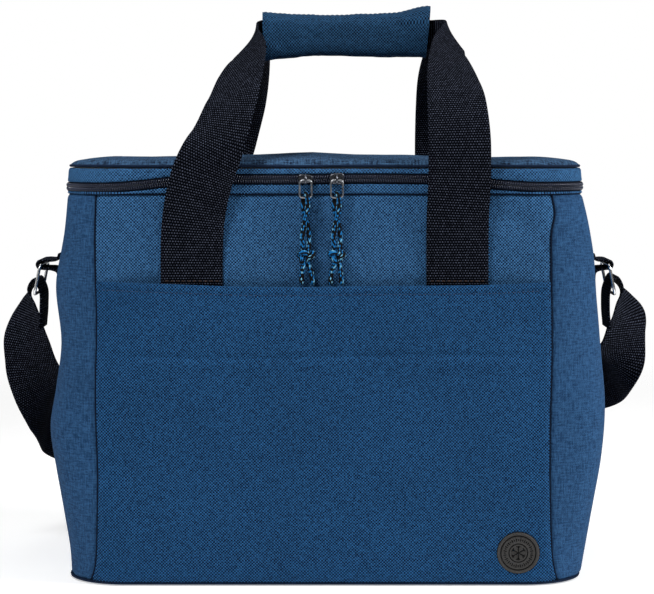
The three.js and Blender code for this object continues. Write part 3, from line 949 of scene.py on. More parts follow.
def outline(z, inset=0.0, count=960):
    """The whole body's outline at a height, anticlockwise from the middle of the back."""
    share = np.linspace(0, 1, 160)[:-1]
    left, right = -float(seam_x(-1, z)), float(seam_x(1, z))
    front_x = left + (right - left) * share
    front = np.stack([front_x, -face_depth(front_x, z)], -1)
    back_x = right + (left - right) * share
    back = np.stack([back_x, face_depth(back_x, z)], -1)
    height = np.full(share.shape, float(z))
    right_side = gusset_points(1, share, height)[0][:, :2]
    left_side = gusset_points(-1, 1 - share, height)[0][:, :2]
    half = len(share) // 2
    loop = np.vstack([back[half:], left_side, front, right_side, back[:half]])
    loop = np.vstack([loop, loop[:1]])
    walked = walk(loop)
    at = np.linspace(0, walked[-1], count + 1)
    loop = at_lengths(loop, walked, at)
    ahead = np.roll(loop[:-1], -1, 0) - np.roll(loop[:-1], 1, 0)
    out = unit(np.stack([ahead[:, 1], -ahead[:, 0]], -1))
    out = np.vstack([out, out[:1]])
    return loop - out * inset, out, at


POLE = 0.0001  # the share of its outline at which a pile of rings closes on its middle


def piping(name, inset, height, radius, sides, level=SEAM_TOP, wobble=0.0):
    """A tube round the body, inset from its outline at a level, at about a height."""
    loop = outline(level, inset, 480)[0][:-1]
    wave = 0.25 * np.sin(loop[:, 0] / 13) + 0.2 * np.sin(loop[:, 1] / 9)
    return tube(name, raised(loop, height + wave * wobble), radius, sides, closed=True)


def add_base():
    shares = [1, 0.985, 0.96, 0.9, 0.75, 0.5, 0.2, POLE]
    heights = [1.0, 0.3, 0.15, 0.1, 0.2, 0.3, 0.3, 0.3]
    loop = outline(PANEL_FOOT, 1.6, 240)[0]
    points = np.array([raised(loop * share, height) for share, height in zip(shares, heights)])
    dress(flat_piece("base_cloth", points, 0.05), FABRIC, "cooler_body", ["base_panel"])
    welt = piping("base_welt", 0.9, 1.3, 0.9, 8, level=PANEL_FOOT)
    dress(welt, BINDING, "cooler_body")


def add_seam_lines():
    z = np.linspace(1.5, SEAM_TOP - 0.4, 150)
    for side, word in ((-1, "left"), (1, "right")):
        for side_y, face in ((-1, "front"), (1, "back")):
            x = side * seam_x(side, z)
            y = side_y * (face_depth(x, z) - 0.75)
            path = np.stack([x, y, z], -1)
            dress(tube(f"seam_{face}_{word}", path, 0.5, 8), SEAM, "cooler_body")
    dress(piping("seam_top", 0.55, SEAM_TOP, 0.6, 8), SEAM, "cooler_body")


# ---- front pocket and badge --------------------------------------------------------------

POCKET_STAND_OFF = 5.4
HEM_FOLD = 8.0


def hem_height(x):
    return HEM - 0.6 + 2.6 * (x / 138) ** 2 + 0.35 * np.sin(x / 23)


def pocket_depth(x, z, left, right):
    edge = np.minimum(x - left, right - x)
    open_share = fade(4, 190, z) ** 0.7 * fade(0, 34, edge)
    crease = 1.0 * bell(z, 143.5 + 1.2 * np.sin(x / 40), 1.5) * fade(2, 30, edge)
    below = 0.8 * bell(z, 138.5, 4.5) * fade(2, 30, edge)
    soft = 0.9 * ripple(x * 0.6, z, 60, 77.0) + 0.35 * ripple(x, z * 1.2, 21, 71.0)
    sewn = hem_height(x) - 4.6 - z
    below = below - 0.55 * bell(sewn, 0, 0.8) + 0.35 * bell(sewn, -2.4, 1.6)
    relief = soft * fade(0, 20, edge) * fade(0, 20, z) - crease + below
    relief = relief + pucker(edge, z, 5.5) + seam_dip(edge) + 1.2 * seam_dip(z - 2)
    return face_depth(x, z) + 1.0 + POCKET_STAND_OFF * open_share + relief


def add_pocket():
    count = 190
    share = ends_close(count)[None, :]
    rise = (1 - (1 - np.linspace(0, 1, 120)) ** 1.15)[:, None]
    left_hem, right_hem = -seam_x(-1, HEM) + 0.4, seam_x(1, HEM) - 0.4
    x_hem = left_hem + (right_hem - left_hem) * share
    z = 2 + (hem_height(x_hem) - 2) * rise
    left, right = -seam_x(-1, z) + 0.4, seam_x(1, z) - 0.4
    x = left + (right - left) * share
    depth = pocket_depth(x, z, left, right)
    sheet = np.stack([x, -depth, z], -1)
    rounds = np.radians([25, 60, 90, 120, 155, 180])
    thick = 1.3
    top = sheet[-1]
    curl = [top + np.stack([0 * x[-1], np.full(count, thick / 2 * (1 - math.cos(a))),
                            np.full(count, thick / 2 * math.sin(a))], -1) for a in rounds]
    falls = np.linspace(0.6, HEM_FOLD, 7)
    lining = []
    for fall in falls:
        z_low = hem_height(x_hem[0]) - fall
        row = pocket_depth(x[-1], z_low, left[-1], right[-1]) - thick
        lining.append(np.stack([x[-1], -row, z_low], -1))
    points = np.concatenate([sheet, np.array(curl), np.array(lining)])
    v = np.concatenate([z, z[-1:] + np.linspace(0.4, HEM_FOLD + 3, len(points) - len(z))[:, None]
                        + 0 * share])
    uv = np.stack([np.vstack([x, np.repeat(x[-1:], len(points) - len(x), 0)]), v], -1)
    obj = thicken(surface("pocket_cloth", points, uv), 0.5)
    # The pocket wears the darker copy of the heather: painted shade.
    dress(obj, SHADED_POCKET_CLOTH, "cooler_body", ["front_pocket_panel"])
    row_x = np.linspace(-136.5, 131.5, 90)
    row_z = hem_height(row_x) - 4.6
    row_y = -pocket_depth(row_x, row_z, -seam_x(-1, row_z), seam_x(1, row_z)) - 0.08
    path = np.stack([row_x, row_y, row_z], -1)
    dress(stitches("pocket_hem_stitches", path, (0, -1, 0), 2.2, 0.8, 0.26), THREAD,
          "cooler_body")


def disc_profile(name, profile, sides=96):
    """A round piece from radius and height pairs, facing -Y."""
    turn = np.linspace(0, 2 * np.pi, sides + 1)
    radius = np.array([p[0] for p in profile])[:, None]
    rise = np.array([p[1] for p in profile])[:, None]
    points = np.stack([radius * np.cos(turn), -rise + 0 * turn, radius * np.sin(turn)], -1)
    return surface(name, points, points[..., [0, 2]].copy())


TICKS = 40


def spoke(turn):
    """The way out of the badge's middle at an angle, and the way round it."""
    out = np.array([math.cos(turn), 0, math.sin(turn)])
    side = np.array([-math.sin(turn), 0, math.cos(turn)])
    return out, side


def add_badge():
    low, high = cad("badge")
    x, z = (low[0] + high[0]) / 2, (low[2] + high[2]) / 2
    radius = (high[0] - low[0]) / 2
    y = -float(pocket_depth(np.array(x), np.array(z), -seam_x(-1, z), seam_x(1, z))) + 0.2
    r = radius
    profile = [(r - 0.3, -0.6), (r, 0.1), (r, 1.0), (r - 0.35, 1.5), (r - 1.1, 1.55),
               (r - 1.5, 1.25), (r - 1.7, 1.1), (r - 2.9, 1.1), (r - 3.1, 1.3), (r - 3.5, 1.3),
               (r - 3.7, 1.1), (r - 7.6, 1.1), (r - 7.8, 1.3), (r - 8.2, 1.3), (r - 8.4, 1.05),
               (0.05, 1.05)]
    patch = disc_profile("badge_patch", profile)
    tilt = math.atan2(2.2, 2 * radius)
    patch.location = (x * MM, y * MM, z * MM)
    patch.rotation_euler = (tilt, 0, 0)
    dress(weld(patch, FINE_WELD), RUBBER, "cooler_body", ["badge"])
    face = np.array([0, -1.05, 0])
    origins, axes = [], []
    for n in range(TICKS):
        out, side = spoke(2 * math.pi * n / TICKS)
        origins.append(out * (r - 4.7) + face)
        long = 1.25 if n % 2 else 0.7
        axes.append([out * long, np.array([0, -0.3, 0]), side * 0.34])
    for n in range(6):
        out, side = spoke(math.pi * n / 3 + math.pi / 6)
        origins.append(out * 2.4 + face)
        axes.append([out * 2.6, np.array([0, -0.45, 0]), side * 0.34])
        for way in (-1, 1):
            branch = unit(out + way * side * 1.2)
            origins.append(out * 3.3 + branch * 0.7 + face)
            axes.append([branch, np.array([0, -0.4, 0]), np.cross(branch, (0, 1, 0)) * 0.24])
    # The ticks, the snowflake and the three rings below are near-black shapes on the face: painted
    # shade for the badge's grooves.
    emboss = copies("badge_emboss", ball(7, 10), origins, axes)
    for number, (size, thick) in enumerate([(r - 0.1, 0.45), (r - 2.2, 0.32), (r - 7.2, 0.32)]):
        turn = np.linspace(0, 2 * np.pi, 97)[:-1]
        depth = np.full(96, -0.5 if number == 0 else -1.05)
        ring = np.stack([size * np.cos(turn), depth, size * np.sin(turn)], -1)
        line = tube(f"badge_ring_{number}", ring, thick, 8, closed=True)
        line.location = patch.location
        line.rotation_euler = patch.rotation_euler
        dress(line, GROOVE_SHADE_RUBBER, "cooler_body")
    emboss.location = patch.location
    emboss.rotation_euler = patch.rotation_euler
    dress(emboss, GROOVE_SHADE_RUBBER, "cooler_body")


# ---- zip and lid -------------------------------------------------------------------------

RIM, RIM_OUT, RIM_AT = outline(SEAM_TOP)
ZIP_DROOP = 5.2


def droop(x, y):
    """The zip hangs lower where it turns the front corners."""
    across = fade(62, 138, np.abs(x))
    return ZIP_DROOP * across * (1 - fade(-30, ZIP_END_Y, y))


def zip_height(x, y):
    return ZIP_LINE - droop(x, y) + 0.25 * np.sin(x / 19)


# The part of the rim that the zip passes, from the back left corner to the right.
ZIP_RUN = np.flatnonzero(RIM[:, 1] < ZIP_END_Y)
ZIP_FROM, ZIP_TO = ZIP_RUN[0], ZIP_RUN[-1] + 1


def rim_band(name, rows, part=slice(None)):
    """A strip round the rim. Each row is how far out it is and its height at each point."""
    points = []
    for out, height in rows:
        place = RIM[part] + RIM_OUT[part] * np.broadcast_to(out, RIM_AT.shape)[part][:, None]
        points.append(raised(place, np.broadcast_to(height, RIM_AT.shape)[part]))
    points = np.array(points)
    uv = np.stack([np.broadcast_to(RIM_AT[part], points.shape[:2]), points[..., 2]], -1)
    return surface(name, points, uv)


def add_closure():
    x, y = RIM[:, 0], RIM[:, 1]
    line = zip_height(x, y)
    closing = RIM[:, 1] < ZIP_END_Y
    low_top = np.where(closing, line - 3.6, ZIP_LINE - 3.6)
    wave = 0.25 * ripple(RIM_AT, 0 * x, 14, 2.2)
    band_rows = [(-0.9, SEAM_TOP + 0.1), (0.1, SEAM_TOP + 0.6)]
    for share in (0.25, 0.5, 0.75):
        band_rows.append((0.55 + wave * 0.6, SEAM_TOP + (low_top - SEAM_TOP) * share))
    band_rows += [(0.35, low_top), (-0.2, low_top + 0.25), (-1.1, low_top + 0.1)]
    band = thicken(rim_band("zip_band_cloth", band_rows), 0.7)
    dress(band, FABRIC, "cooler_body", ["zip_band_lower"])
    part = slice(ZIP_FROM, ZIP_TO)
    tape = rim_band("zip_tape_low", [(-0.7, line - 3.8), (-0.5, line - 2.4), (-0.4, line - 1.2),
                                     (-0.5, line - 0.25)], part)
    dress(thicken(tape, 0.5), TAPE, "cooler_body", ["zip_tape_lower"])
    tape = rim_band("zip_tape_high", [(-0.5, line + 0.25), (-0.4, line + 1.2), (-0.5, line + 2.4),
                                      (-0.8, line + 4.2)], part)
    dress(thicken(tape, 0.5), TAPE, "lid", ["zip_tape_upper"])
    band_foot = np.where(closing, line + 3.4, ZIP_LINE + 3.4)
    rows = [(-1.3, band_foot - 0.1), (-0.1, band_foot - 0.25), (0.3, band_foot + 0.1)]
    top = LID_SEAM + 0.2
    for share in (0.3, 0.6, 0.85):
        rows.append((0.3 + wave - 0.7 * share, band_foot + (top - band_foot) * share))
    rows.append((-1.1, top))
    dress(thicken(rim_band("lid_band_cloth", rows), 0.7), FABRIC, "lid",
          ["lid_side_band"])
    add_teeth(line)
    add_hinge()


TOOTH_PITCH = 1.45


def add_teeth(line):
    """Two rows of nylon coil, each a little loop that leans along the zip."""
    part = slice(ZIP_FROM, ZIP_TO)
    walked = RIM_AT[part]
    count = int((walked[-1] - walked[0]) / TOOTH_PITCH)
    for row, (name, node, body) in enumerate((
        ("zip_teeth_low", "zip_coil_lower", "cooler_body"),
        ("zip_teeth_high", "zip_coil_upper", "lid"),
    )):
        at = walked[0] + (np.arange(count) + 0.25 + 0.5 * row) * TOOTH_PITCH
        out = unit(at_lengths(RIM_OUT, RIM_AT, at))
        z = np.interp(at, RIM_AT, line) + (1.05 if row else -1.05)
        origins = raised(at_lengths(RIM, RIM_AT, at) + out * 0.35, z)
        facing = raised(out, 0)
        along = np.column_stack([-out[:, 1], out[:, 0], np.zeros(count)])
        upright = np.tile([0, 0, 1.0], (count, 1))
        lean = unit(upright + along * (0.28 if row else -0.28))
        axes = np.stack([along * 0.46, facing * 0.85, lean * 1.25], 1)
        dress(copies(name, ball(), origins, axes), NYLON, body, [node])
        cord = raised(RIM[part] + RIM_OUT[part] * 0.1, line[part] + (2.25 if row else -2.25))
        dress(tube(f"{name}_edge", cord[::2], 0.42, 6), TAPE, body)


def add_hinge():
    """The strip of cloth at the back that the lid turns on, where the zip doesn't reach."""
    keep = RIM[:, 1] >= ZIP_END_Y - 1.5
    order = np.concatenate([np.arange(ZIP_TO - 2, len(RIM) - 1), np.arange(0, ZIP_FROM + 3)])
    order = order[keep[order]]
    heights = np.linspace(ZIP_LINE - 3.9, ZIP_LINE + 3.9, 15)
    x_at = RIM[order, 0]
    points = []
    for height in heights:
        bend = 0.45 - 0.5 * bell(height, ZIP_LINE, 1.6) + 0.15 * np.sin(x_at / 9)
        place = RIM[order] + RIM_OUT[order] * (bend - 0.2)[:, None]
        points.append(raised(place, height))
    points = np.array(points)
    uv = np.stack(np.meshgrid(walk(points[0]), heights), -1)
    hinge = surface("hinge_cloth", points, uv)
    dress(hinge, FABRIC, None, ["lid_hinge_strip"])
    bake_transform(hinge)
    thicken(hinge, 0.9)


LID_INSET = 1.4


def lid_rise(x, y, share, edge):
    """Height of the lid's cloth over its rim. edge is how far each point lies inside it."""
    plump = 3.4 * (1 - np.exp(-edge / 2.8))
    dome = 3.8 * np.clip(1 - np.abs(x + 8) / 150, 0, 1) ** 1.5 * np.clip(1 - (y / 100) ** 2, 0, 1)
    corner = 1.5 * bell(np.abs(x), 138, 15) * bell(y, -20, 60) * (1 - share**12)
    folds = 0.5 * ripple(x, y * 0.7, 38, 9.0) + 0.25 * ripple(x * 0.8, y * 1.4, 15, 12.0)
    return plump + dome + corner + folds * (1 - share**6)


def lid_rings(inset, shares, count=480):
    """Rings at shares of the way out to the lid's rim, and how far inside it they lie."""
    loop, out, _ = outline(SEAM_TOP, LID_INSET + inset, count)
    reach = (loop * out).sum(1)
    return np.array([loop * s for s in shares]), np.array([reach * (1 - s) for s in shares])


def add_lid():
    shares = [1.0, 0.998, 0.995, 0.99, 0.983, 0.973, 0.96, 0.945]
    shares = np.concatenate([shares, np.linspace(0.925, 0.02, 42), [POLE]])
    plan, edge = lid_rings(0, shares)
    x, y = plan[..., 0], plan[..., 1]
    share = shares[:, None] + 0 * x
    z = LID_EDGE - 0.5 + lid_rise(x, y, share, edge)
    z[0] -= 0.5
    top = flat_piece("lid_top_cloth", np.stack([x, y, z], -1))
    dress(thicken(top, 0.9), LID_CLOTH, "lid", ["lid_top_panel"])
    welt = piping("lid_welt", LID_INSET + 0.2, LID_SEAM + 1.7, 0.8, 12, wobble=0.6)
    dress(welt, BINDING, "lid", ["lid_piping"])
    inner = np.concatenate([[1.0], np.linspace(0.999, 0.06, 15), [POLE]])
    plan, edge = lid_rings(2.2, inner, 240)
    x, y = plan[..., 0], plan[..., 1]
    share = inner[:, None] + 0 * x
    z = LID_EDGE - 2.4 + 0.9 * lid_rise(x, y, share, edge)
    bottom = cad("lid_liner")[1][2] + 0.2
    z[0] = bottom
    top_half = np.stack([x, y, z], -1)
    low = np.stack([x, y, 0 * x + bottom], -1)[::-1]
    foam = flat_piece("lid_foam_pad", np.concatenate([low[:-1], top_half]))
    dress(foam, FOAM, "lid", ["lid_foam"])
    inner = np.concatenate([[1.0, 0.995, 0.985], np.linspace(0.97, 0.03, 30), [POLE]])
    plan = lid_rings(1.2, inner, 300)[0]
    x, y = plan[..., 0], plan[..., 1]
    puff = 1.6 * fade(0, 0.06, 1 - inner[:, None]) + 0.7 * ripple(x, y, 30, 40.0)
    z = bottom - 0.3 - puff * (1 - inner[:, None] ** 20)
    liner = flat_piece("lid_liner_film", np.stack([x, y, z], -1)[::-1])
    dress(thicken(liner, 0.3, 1), LINER, "lid", ["lid_liner"])
    edging = piping("lid_liner_binding", LID_INSET + 1.8, bottom - 0.5, 0.9, 8)
    dress(edging, BINDING, "lid")


# ---- inside ------------------------------------------------------------------------------


def shell(name, inset, thick, foot, rim, count=240, soft=0.0):
    """A tub that follows the body: up the outside, over the rim, and down to its floor."""
    floor = foot + thick
    rows = []
    for z in np.linspace(foot, rim, 30):
        rows.append(raised(outline(z, inset, count)[0], z))
    for z in np.linspace(rim, floor + 2, 40):
        place, out, at = outline(z, inset + thick, count)
        if soft:
            folds = soft * ripple(at, np.full(count + 1, z), 34, 50.0)
            place = place - out * np.abs(folds)[:, None] * float(fade(0, 12, rim - z))
        rows.append(raised(place, z))
    place = outline(floor + 2, inset + thick + 1.5, count)[0]
    rows += [raised(place * share, floor) for share in (1, 0.9, 0.6, 0.3, POLE)]
    under, _, around = outline(foot, inset, count)
    rows = [raised(under * share, foot) for share in (POLE, 0.6)] + rows
    points = np.array(rows)
    uv = np.stack(np.meshgrid(around, walk(points[:, 0])), -1)
    return weld(surface(name, points, uv), 0.03)


def add_inside():
    foam_low, foam_high = cad("foam_tub")
    foam = shell("foam_wall", 2.2, 5.2, foam_low[2], foam_high[2])
    dress(foam, FOAM, "cooler_body", ["foam_tub"])
    liner_low, liner_high = cad("liner_tub")
    liner = shell("liner_film_tub", 8.0, 0.8, liner_low[2], liner_high[2], 360, 1.6)
    dress(liner, LINER, "cooler_body", ["liner_tub"])
    edging = piping("liner_binding", 4.6, liner_high[2] - 0.6, 1.0, 10)
    dress(edging, BINDING, "cooler_body")
    repaint("base_board", BOARD)


add_face(-1, "front_panel_cloth", "front_panel")
add_face(1, "back_panel_cloth", "back_panel")
add_gusset(-1, "side_panel_cloth_left", "side_panel_left")
add_gusset(1, "side_panel_cloth_right", "side_panel_right")
add_base()
add_seam_lines()
add_pocket()
add_badge()
add_closure()
add_lid()
add_inside()


# ---- carry handles -----------------------------------------------------------------------

HANDLE_STAND_OFF = 1.4
LEG_X = 81
FOLD_Z = cad("handle_front_webbing")[0][2]
TAIL_FOOT = cad("handle_tail_front_left")[0][2]
GRIP_LOW, GRIP_HIGH = cad("grip_wrap")
GRIP_Z = (GRIP_LOW[2] + GRIP_HIGH[2]) / 2


def strap_y(z):
    """Distance of a carry strap's middle from the middle of the bag, where it lies on it."""
    return HALF_DEPTH * (1 + 0.05 * float(swell(z))) + HANDLE_STAND_OFF


FRONT_GRIP_Y, BACK_GRIP_Y = 3.6, 2.1  # how far out each strap lies inside the grip
ARCH_FOOT = 252  # up to here, the distance out is from the strap's place at the fold

# One handle above its fold: x, distance out, z, the direction across it, and width.
HANDLE_ARCH = [
    (-80, 1, 225, 1, 0, 0, 38),
    (-74.5, 2.5, 252, 1, 0, 0.12, 38),
    (-64.5, 103, 276, 0.94, 0.1, 0.34, 36),
    (-57, 90, 298, 0.93, 0, 0.38, 34),
    (-52.5, 64, 316, 0.9, 0, 0.4, 32),
    (-48.8, 34, 330, 0.8, 0.1, 0.5, 27),
    (-47, 12, 338.5, 0.5, 0.15, 0.8, 21),
    (-40, FRONT_GRIP_Y, GRIP_Z, 0.1, 0, 1, 19),
    (-20, FRONT_GRIP_Y, GRIP_Z, 0, 0, 1, 19),
    (14, FRONT_GRIP_Y, GRIP_Z, 0, 0, 1, 19),
    (47, FRONT_GRIP_Y, GRIP_Z, 0, 0, 1, 19),
    (69, FRONT_GRIP_Y, GRIP_Z, -0.1, 0, 1, 19),
    (81, 12, 342, -0.45, 0.15, 0.85, 21),
    (79.5, 34, 333, -0.8, 0.1, 0.5, 25),
    (79.5, 64, 317, -0.95, 0, 0.25, 32),
    (81, 90, 298, -1, 0, 0, 36),
    (82, 103, 275, -1, 0, 0, 38),
    (82, 2.5, 252, -1, 0, 0, 38),
    (LEG_X, 1, 225, -1, 0, 0, 38),
]


def handle_stations(side_y):
    """The whole handle, with the tails that are sewn to the bag."""
    fold = strap_y(FOLD_Z)
    tail_heights = [TAIL_FOOT, TAIL_FOOT + 20, FOLD_Z - 8, FOLD_Z + 6]
    stations = [(-LEG_X, strap_y(z), z, 1, 0, 0, 38) for z in tail_heights]
    for x, y, z, ax, ay, az, width in HANDLE_ARCH:
        if z <= ARCH_FOOT:
            y = fold + y
        if y == FRONT_GRIP_Y and side_y > 0:
            y = BACK_GRIP_Y
        stations.append((x, y, z, ax, ay, az, width))
    stations += [(LEG_X, strap_y(z), z, -1, 0, 0, 38) for z in tail_heights[::-1]]
    return [(x, side_y * y, z, ax, side_y * ay, az, w) for x, y, z, ax, ay, az, w in stations]


def add_handle(side_y, face):
    stations = handle_stations(side_y)
    strap = ribbon(f"handle_{face}_strap", stations, 420)
    nodes = [f"handle_{face}_webbing", f"handle_tail_{face}_left", f"handle_tail_{face}_right"]
    dress(strap, WEBBING, None, nodes)
    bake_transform(strap)
    for side, word in ((-1, "left"), (1, "right")):
        add_tail_stitches(side_y, face, side, word)


def add_tail_stitches(side_y, face, side, word):
    """A boxed cross on a back tail. On the front only the row over the pocket shows."""
    if side_y < 0:
        rows = [((-17, HEM + 3.2), (17, HEM + 3.2))]
        thread = BROWN_THREAD
    else:
        low, high = TAIL_FOOT + 4, TAIL_FOOT + 36
        box = [(-16, low), (16, low), (16, high), (-16, high), (-16, low)]
        rows = list(zip(box[:-1], box[1:])) + [(box[0], box[2]), (box[1], box[3])]
        thread = DARK_THREAD
    for number, (first, last) in enumerate(rows):
        first, last = np.array(first), np.array(last)
        flat = first + (last - first) * np.linspace(0, 1, 8)[:, None]
        path = [(side * LEG_X + x, side_y * (strap_y(z) + 0.95), z) for x, z in flat]
        obj = stitches(f"handle_stitch_{face}_{word}_{number}", path, (0, side_y, 0))
        dress(obj, thread, "cooler_body")


# The wrap's section, from its mouth's lower lip round the front to its upper lip: y and z.
GRIP_SECTION = [
    (9.4, -11.6), (4, -13.4), (-3, -14.2), (-8.4, -12.6), (-10.2, -8), (-10.4, -2), (-10.2, 4),
    (-9.2, 8.2), (-7.4, 10.4), (-3, 12.6), (3, 13.9), (9.4, 13.2),
]


def add_grip():
    steps = 120
    x = GRIP_LOW[0] + (GRIP_HIGH[0] - GRIP_LOW[0]) * ends_close(steps)
    outer = smooth_path(np.array([(0, y, z) for y, z in GRIP_SECTION]), 64)[:, 1:]
    ahead = unit(np.gradient(outer, axis=0))
    inward = np.stack([-ahead[:, 1], ahead[:, 0]], -1)
    inward = inward * np.sign((-outer * inward).sum(1))[:, None]
    lip = np.linspace(0, 1, len(outer))
    padding = 1.1 + 2.1 * (fade(0, 0.12, lip) * fade(0, 0.12, 1 - lip)) ** 0.8
    mid = (GRIP_LOW[0] + GRIP_HIGH[0]) / 2
    half = (GRIP_HIGH[0] - GRIP_LOW[0]) / 2
    points = []
    for at in x:
        end = abs((at - mid) / half)
        pinch = 1 - 0.55 * float(fade(0.965, 1.0, end))
        flare = 1 + 0.05 * float(fade(0.75, 1.0, end))
        dent = 1 - 0.06 * float(bell(at, -3, 18))
        lift = 4.6 * float(bell(at, GRIP_HIGH[0], 17)) + 0.8 * float(bell(at, GRIP_LOW[0], 14))
        high = (outer[:, 1] > 6) * 1.0
        low = (outer[:, 1] < -6) * 1.0
        shape = outer * flare * np.array([1, dent])
        shape = shape + np.stack([0 * high, high * lift * (outer[:, 1] / 14)
                                  - low * 1.6 * float(bell(at, GRIP_LOW[0], 24))], -1)
        wrinkle = 0.55 * ripple(lip * 50, at + 0 * lip, 13, 21.0)
        wrinkle = wrinkle + 0.35 * ripple(lip * 90, at + 0 * lip, 6, 23.0) * (end > 0.3)
        shape = shape - inward * wrinkle[:, None]
        fold = 0.7 * bell(lip, 0.70, 0.012)
        shape = shape + inward * fold[:, None]
        inside = shape + inward * (padding * pinch)[:, None]
        ring = np.vstack([shape, inside[::-1], shape[:1]])
        slant = ring[:, 1] * 0.10 * (1 if at > mid else -0.3) * float(fade(0.6, 1, end))
        points.append(np.column_stack([at + slant, ring[:, 0], ring[:, 1] + GRIP_Z]))
    points = np.array(points)
    around = walk(points[40])
    uv = np.stack([x[:, None] + 0 * around, around[None, :] + 0 * x[:, None]], -1)
    grip = weld(surface("grip_wrap_pad", points[:, ::-1], uv[:, ::-1], caps=True), PAD_WELD)
    # The wrap wears the darker copy of the heather: painted shade.
    dress(grip, SHADED_GRIP_CLOTH, "front_handle", ["grip_wrap"])
    row = points[5:-5:3, len(outer) - 6] + np.array([0, 0, 0.05])
    dress(stitches("grip_hem_stitches", row, (0, 0, 1), 2.2, 0.9, 0.28), THREAD, "front_handle")
    add_grip_loop()


def add_grip_loop():
    """The fastening panel that the wrap's mouth closes on, sewn to the back handle."""
    low, high = cad("grip_loop_panel")
    middle = (low + high) / 2
    half = (high - low) / 2
    turn = np.linspace(0, 2 * np.pi, 49)
    rows = []
    for x in half[0] * np.concatenate([[-1], np.linspace(-0.985, 0.985, 60), [1]]):
        size = 1 - 0.4 * float(fade(0.97, 1.0, abs(x) / half[0]))
        y = np.sign(np.cos(turn)) * np.abs(np.cos(turn)) ** 0.35 * half[1] * 0.62 * size
        z = np.sign(np.sin(turn)) * np.abs(np.sin(turn)) ** 0.35 * half[2] * size
        bump = 0.12 * ripple(turn * 10, x + 0 * turn, 2.2, 8.0)
        rows.append(np.column_stack([middle[0] + x + 0 * y, middle[1] + y + bump, middle[2] + z]))
    points = np.array(rows)
    panel = weld(surface("grip_loop_tape", points[:, ::-1], caps=True), PAD_WELD)
    dress(panel, FUZZ, "back_handle", ["grip_loop_panel"])


# ---- shoulder strap ----------------------------------------------------------------------

# The strap from end to end: up through the left ring, down, behind the bag and up again.
STRAP_STATIONS = [
    (-185.5, 0, 152, 0, 1, 0, 37),
    (-184.4, 0, 166, 0, 1, 0, 37),
    (-185.0, 0, 178, 0, 1, 0, 37),
    (-188.6, 0, 184.4, 0, 1, 0, 37),
    (-192.2, 0, 179, 0, 1, 0, 37.5),
    (-193.8, 0.3, 169, -0.32, 0.95, 0.05, 38),
    (-195.5, 1, 155, -0.66, 0.74, 0.1, 38),
    (-196, 4, 140, -0.88, 0.45, 0.05, 38),
    (-194, 11, 125, -0.72, 0.45, -0.45, 38),
    (-190.5, 25, 109, -0.56, 0.35, -0.7, 38),
    (-190, 47, 92, -0.38, 0.12, -0.9, 38),
    (-191, 77, 76, -0.1, 0, -1, 38),
    (-168, 112, 60, 0, 0, -1, 38),
    (-138, 137, 42, 0, 0, -1, 38),
    (-92, 152, 27, 0, 0, -1, 38),
    (-40, 157, 22, 0, 0, -1, 38),
    (20, 157, 22, 0, 0, -1, 38),
    (76, 153, 32, 0, 0, -1, 38),
    (126, 138, 58, 0, 0, -1, 38),
    (162, 110, 84, 0, 0, -1, 38),
    (182, 72, 105, 0.1, 0, -1, 38),
    (192, 40, 115, 0.42, 0.12, -0.9, 38),
    (193.5, 14, 129, 0.62, 0.36, -0.66, 38),
    (197.5, 4, 145, 0.78, 0.58, 0.02, 38),
    (199, 1.5, 157, 0.72, 0.68, 0.1, 38),
    (196, 0.5, 170, 0.38, 0.92, 0.05, 38),
    (193, 0, 180.5, 0, 1, 0, 37.5),
    (189.3, 0, 186.2, 0, 1, 0, 37),
    (185.4, 0, 179, 0, 1, 0, 37),
    (184.4, 0, 166, 0, 1, 0, 37),
    (185.5, 0, 152, 0, 1, 0, 37),
]


def add_shoulder_strap():
    strap = ribbon("shoulder_strap_web", STRAP_STATIONS, 640, 1.5)
    dress(strap, WEBBING, "strap_assembly", ["shoulder_strap"])
    for side, word in ((-1, "left"), (1, "right")):
        add_ring(side, word)
        add_tab(side, word)
    buckle = repaint("strap_adjuster", GUNMETAL)
    bevel = buckle.modifiers.new("edges", "BEVEL")
    bevel.width = 0.7 * MM
    bevel.segments = 3


RING_LENGTH, RING_HEIGHT, RING_WIRE = 42.6, 19.4, 2.0
RING_LEAN = 0.2


def add_ring(side, word):
    """A flat wire ring. Its top bar lies in the tab's loop and its lower bar in the strap."""
    flat = rounded_rectangle(RING_LENGTH, RING_HEIGHT, 3.6)
    down = flat[:, 1] - RING_HEIGHT / 2
    path = np.stack([
        side * (RING_X_TOP - down * math.sin(RING_LEAN)),
        flat[:, 0],
        STRAP_AXIS_Z + down * math.cos(RING_LEAN),
    ], -1)
    ring = tube(f"strap_ring_wire_{word}", path, RING_WIRE / 2, 14, closed=True)
    dress(ring, STEEL, "strap_assembly", [f"strap_ring_{word}"])


TAB_WIDTH = 35


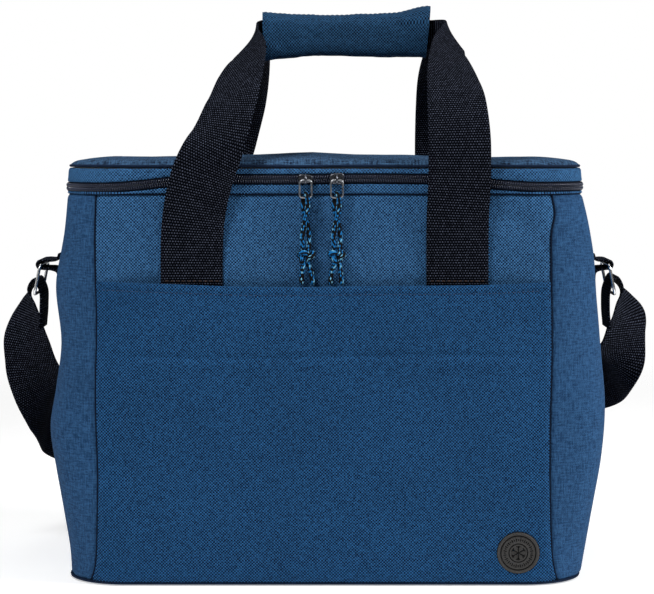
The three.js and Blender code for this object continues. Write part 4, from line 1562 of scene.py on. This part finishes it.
def add_tab(side, word):
    """Webbing sewn to the gusset and folded round the ring's top bar."""
    foot = STRAP_AXIS_Z - 17
    flat_x = float(half_width(side, STRAP_AXIS_Z - 10) + SIDE_BOW) + 2.0
    bar_x = RING_X_TOP
    loop = [
        (flat_x - 0.3, -17), (flat_x + 0.1, -10), (flat_x + 1.2, -4.5), (flat_x + 5, -3.0),
        (bar_x - 1.5, -2.7), (bar_x + 1.8, -2.0), (bar_x + 2.7, 0), (bar_x + 1.8, 2.0),
        (bar_x - 1.5, 2.7), (flat_x + 5, 2.6), (flat_x + 0.9, 3.6), (flat_x - 0.4, 7),
    ]
    stations = [(side * x, 0, STRAP_AXIS_Z + z, 0, side, 0, TAB_WIDTH) for x, z in loop]
    tab = ribbon(f"strap_tab_web_{word}", stations, 120, 1.6)
    dress(tab, WEBBING, None, [f"strap_tab_{word}", f"strap_tab_loop_{word}"])
    side * (bar_x - 3) * MM
    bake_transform(tab)
    for number, z in enumerate((foot + 3, foot + 9)):
        path = [(side * (flat_x + 0.75 + 0.18 * number), y, z) for y in np.linspace(-15, 15, 6)]
        row = stitches(f"tab_stitch_{word}_{number}", path, (side, 0, 0))
        dress(row, DARK_THREAD, "cooler_body")


# ---- zip sliders -------------------------------------------------------------------------


def rounded_block(name, middle, half, power=4.0, rings=18, sides=36, waist=0.0):
    """A block with soft edges. waist narrows one end of it along x."""
    lift = np.linspace(-np.pi / 2, np.pi / 2, rings)[:, None]
    turn = np.linspace(0, 2 * np.pi, sides + 1)[None, :]

    def soft(value):
        return np.sign(value) * np.abs(value) ** (2 / power)

    x = soft(np.cos(lift)) * soft(np.cos(turn))
    z = soft(np.cos(lift)) * soft(np.sin(turn))
    y = soft(np.sin(lift)) + 0 * turn
    z = z * (1 - waist * (x + 1) / 2)
    points = np.stack([x * half[0], y * half[1], z * half[2]], -1) + np.asarray(middle)
    return weld(surface(name, points), PAD_WELD)


def add_slider(side, way):
    low, high = cad(f"zip_slider_{side}")
    x = cad_middle(f"zip_puller_{side}")[0]
    plate_y = (low[1] + high[1]) / 2 + 1.4
    body = f"slider_{side}"
    plate = rounded_block(f"slider_body_{side}", (x, plate_y - 0.1, ZIP_LINE + 0.1),
                          (4.4, 1.5, 3.0), 4.5, waist=0.28 * way)
    dress(plate, GUNMETAL, body, [f"zip_slider_{side}"])
    pivot_z = cad(f"zip_puller_{side}")[1][2] - PULLER_WIRE / 2
    pivot_y = cad_middle(f"zip_puller_{side}")[1]
    arch = [(x, plate_y - 1.0, pivot_z + 3.2), (x, pivot_y - 0.4, pivot_z + 2.6),
            (x, pivot_y - 1.7, pivot_z + 0.6), (x, pivot_y - 1.2, pivot_z - 1.4),
            (x, plate_y - 0.9, pivot_z - 2.2)]
    bridge = tube(f"slider_bridge_{side}", smooth_path(arch, 24), 0.75, 10)
    dress(bridge, GUNMETAL, body)


add_handle(-1, "front")
add_handle(1, "back")
add_grip()
add_shoulder_strap()
add_slider("left", 1)
add_slider("right", -1)
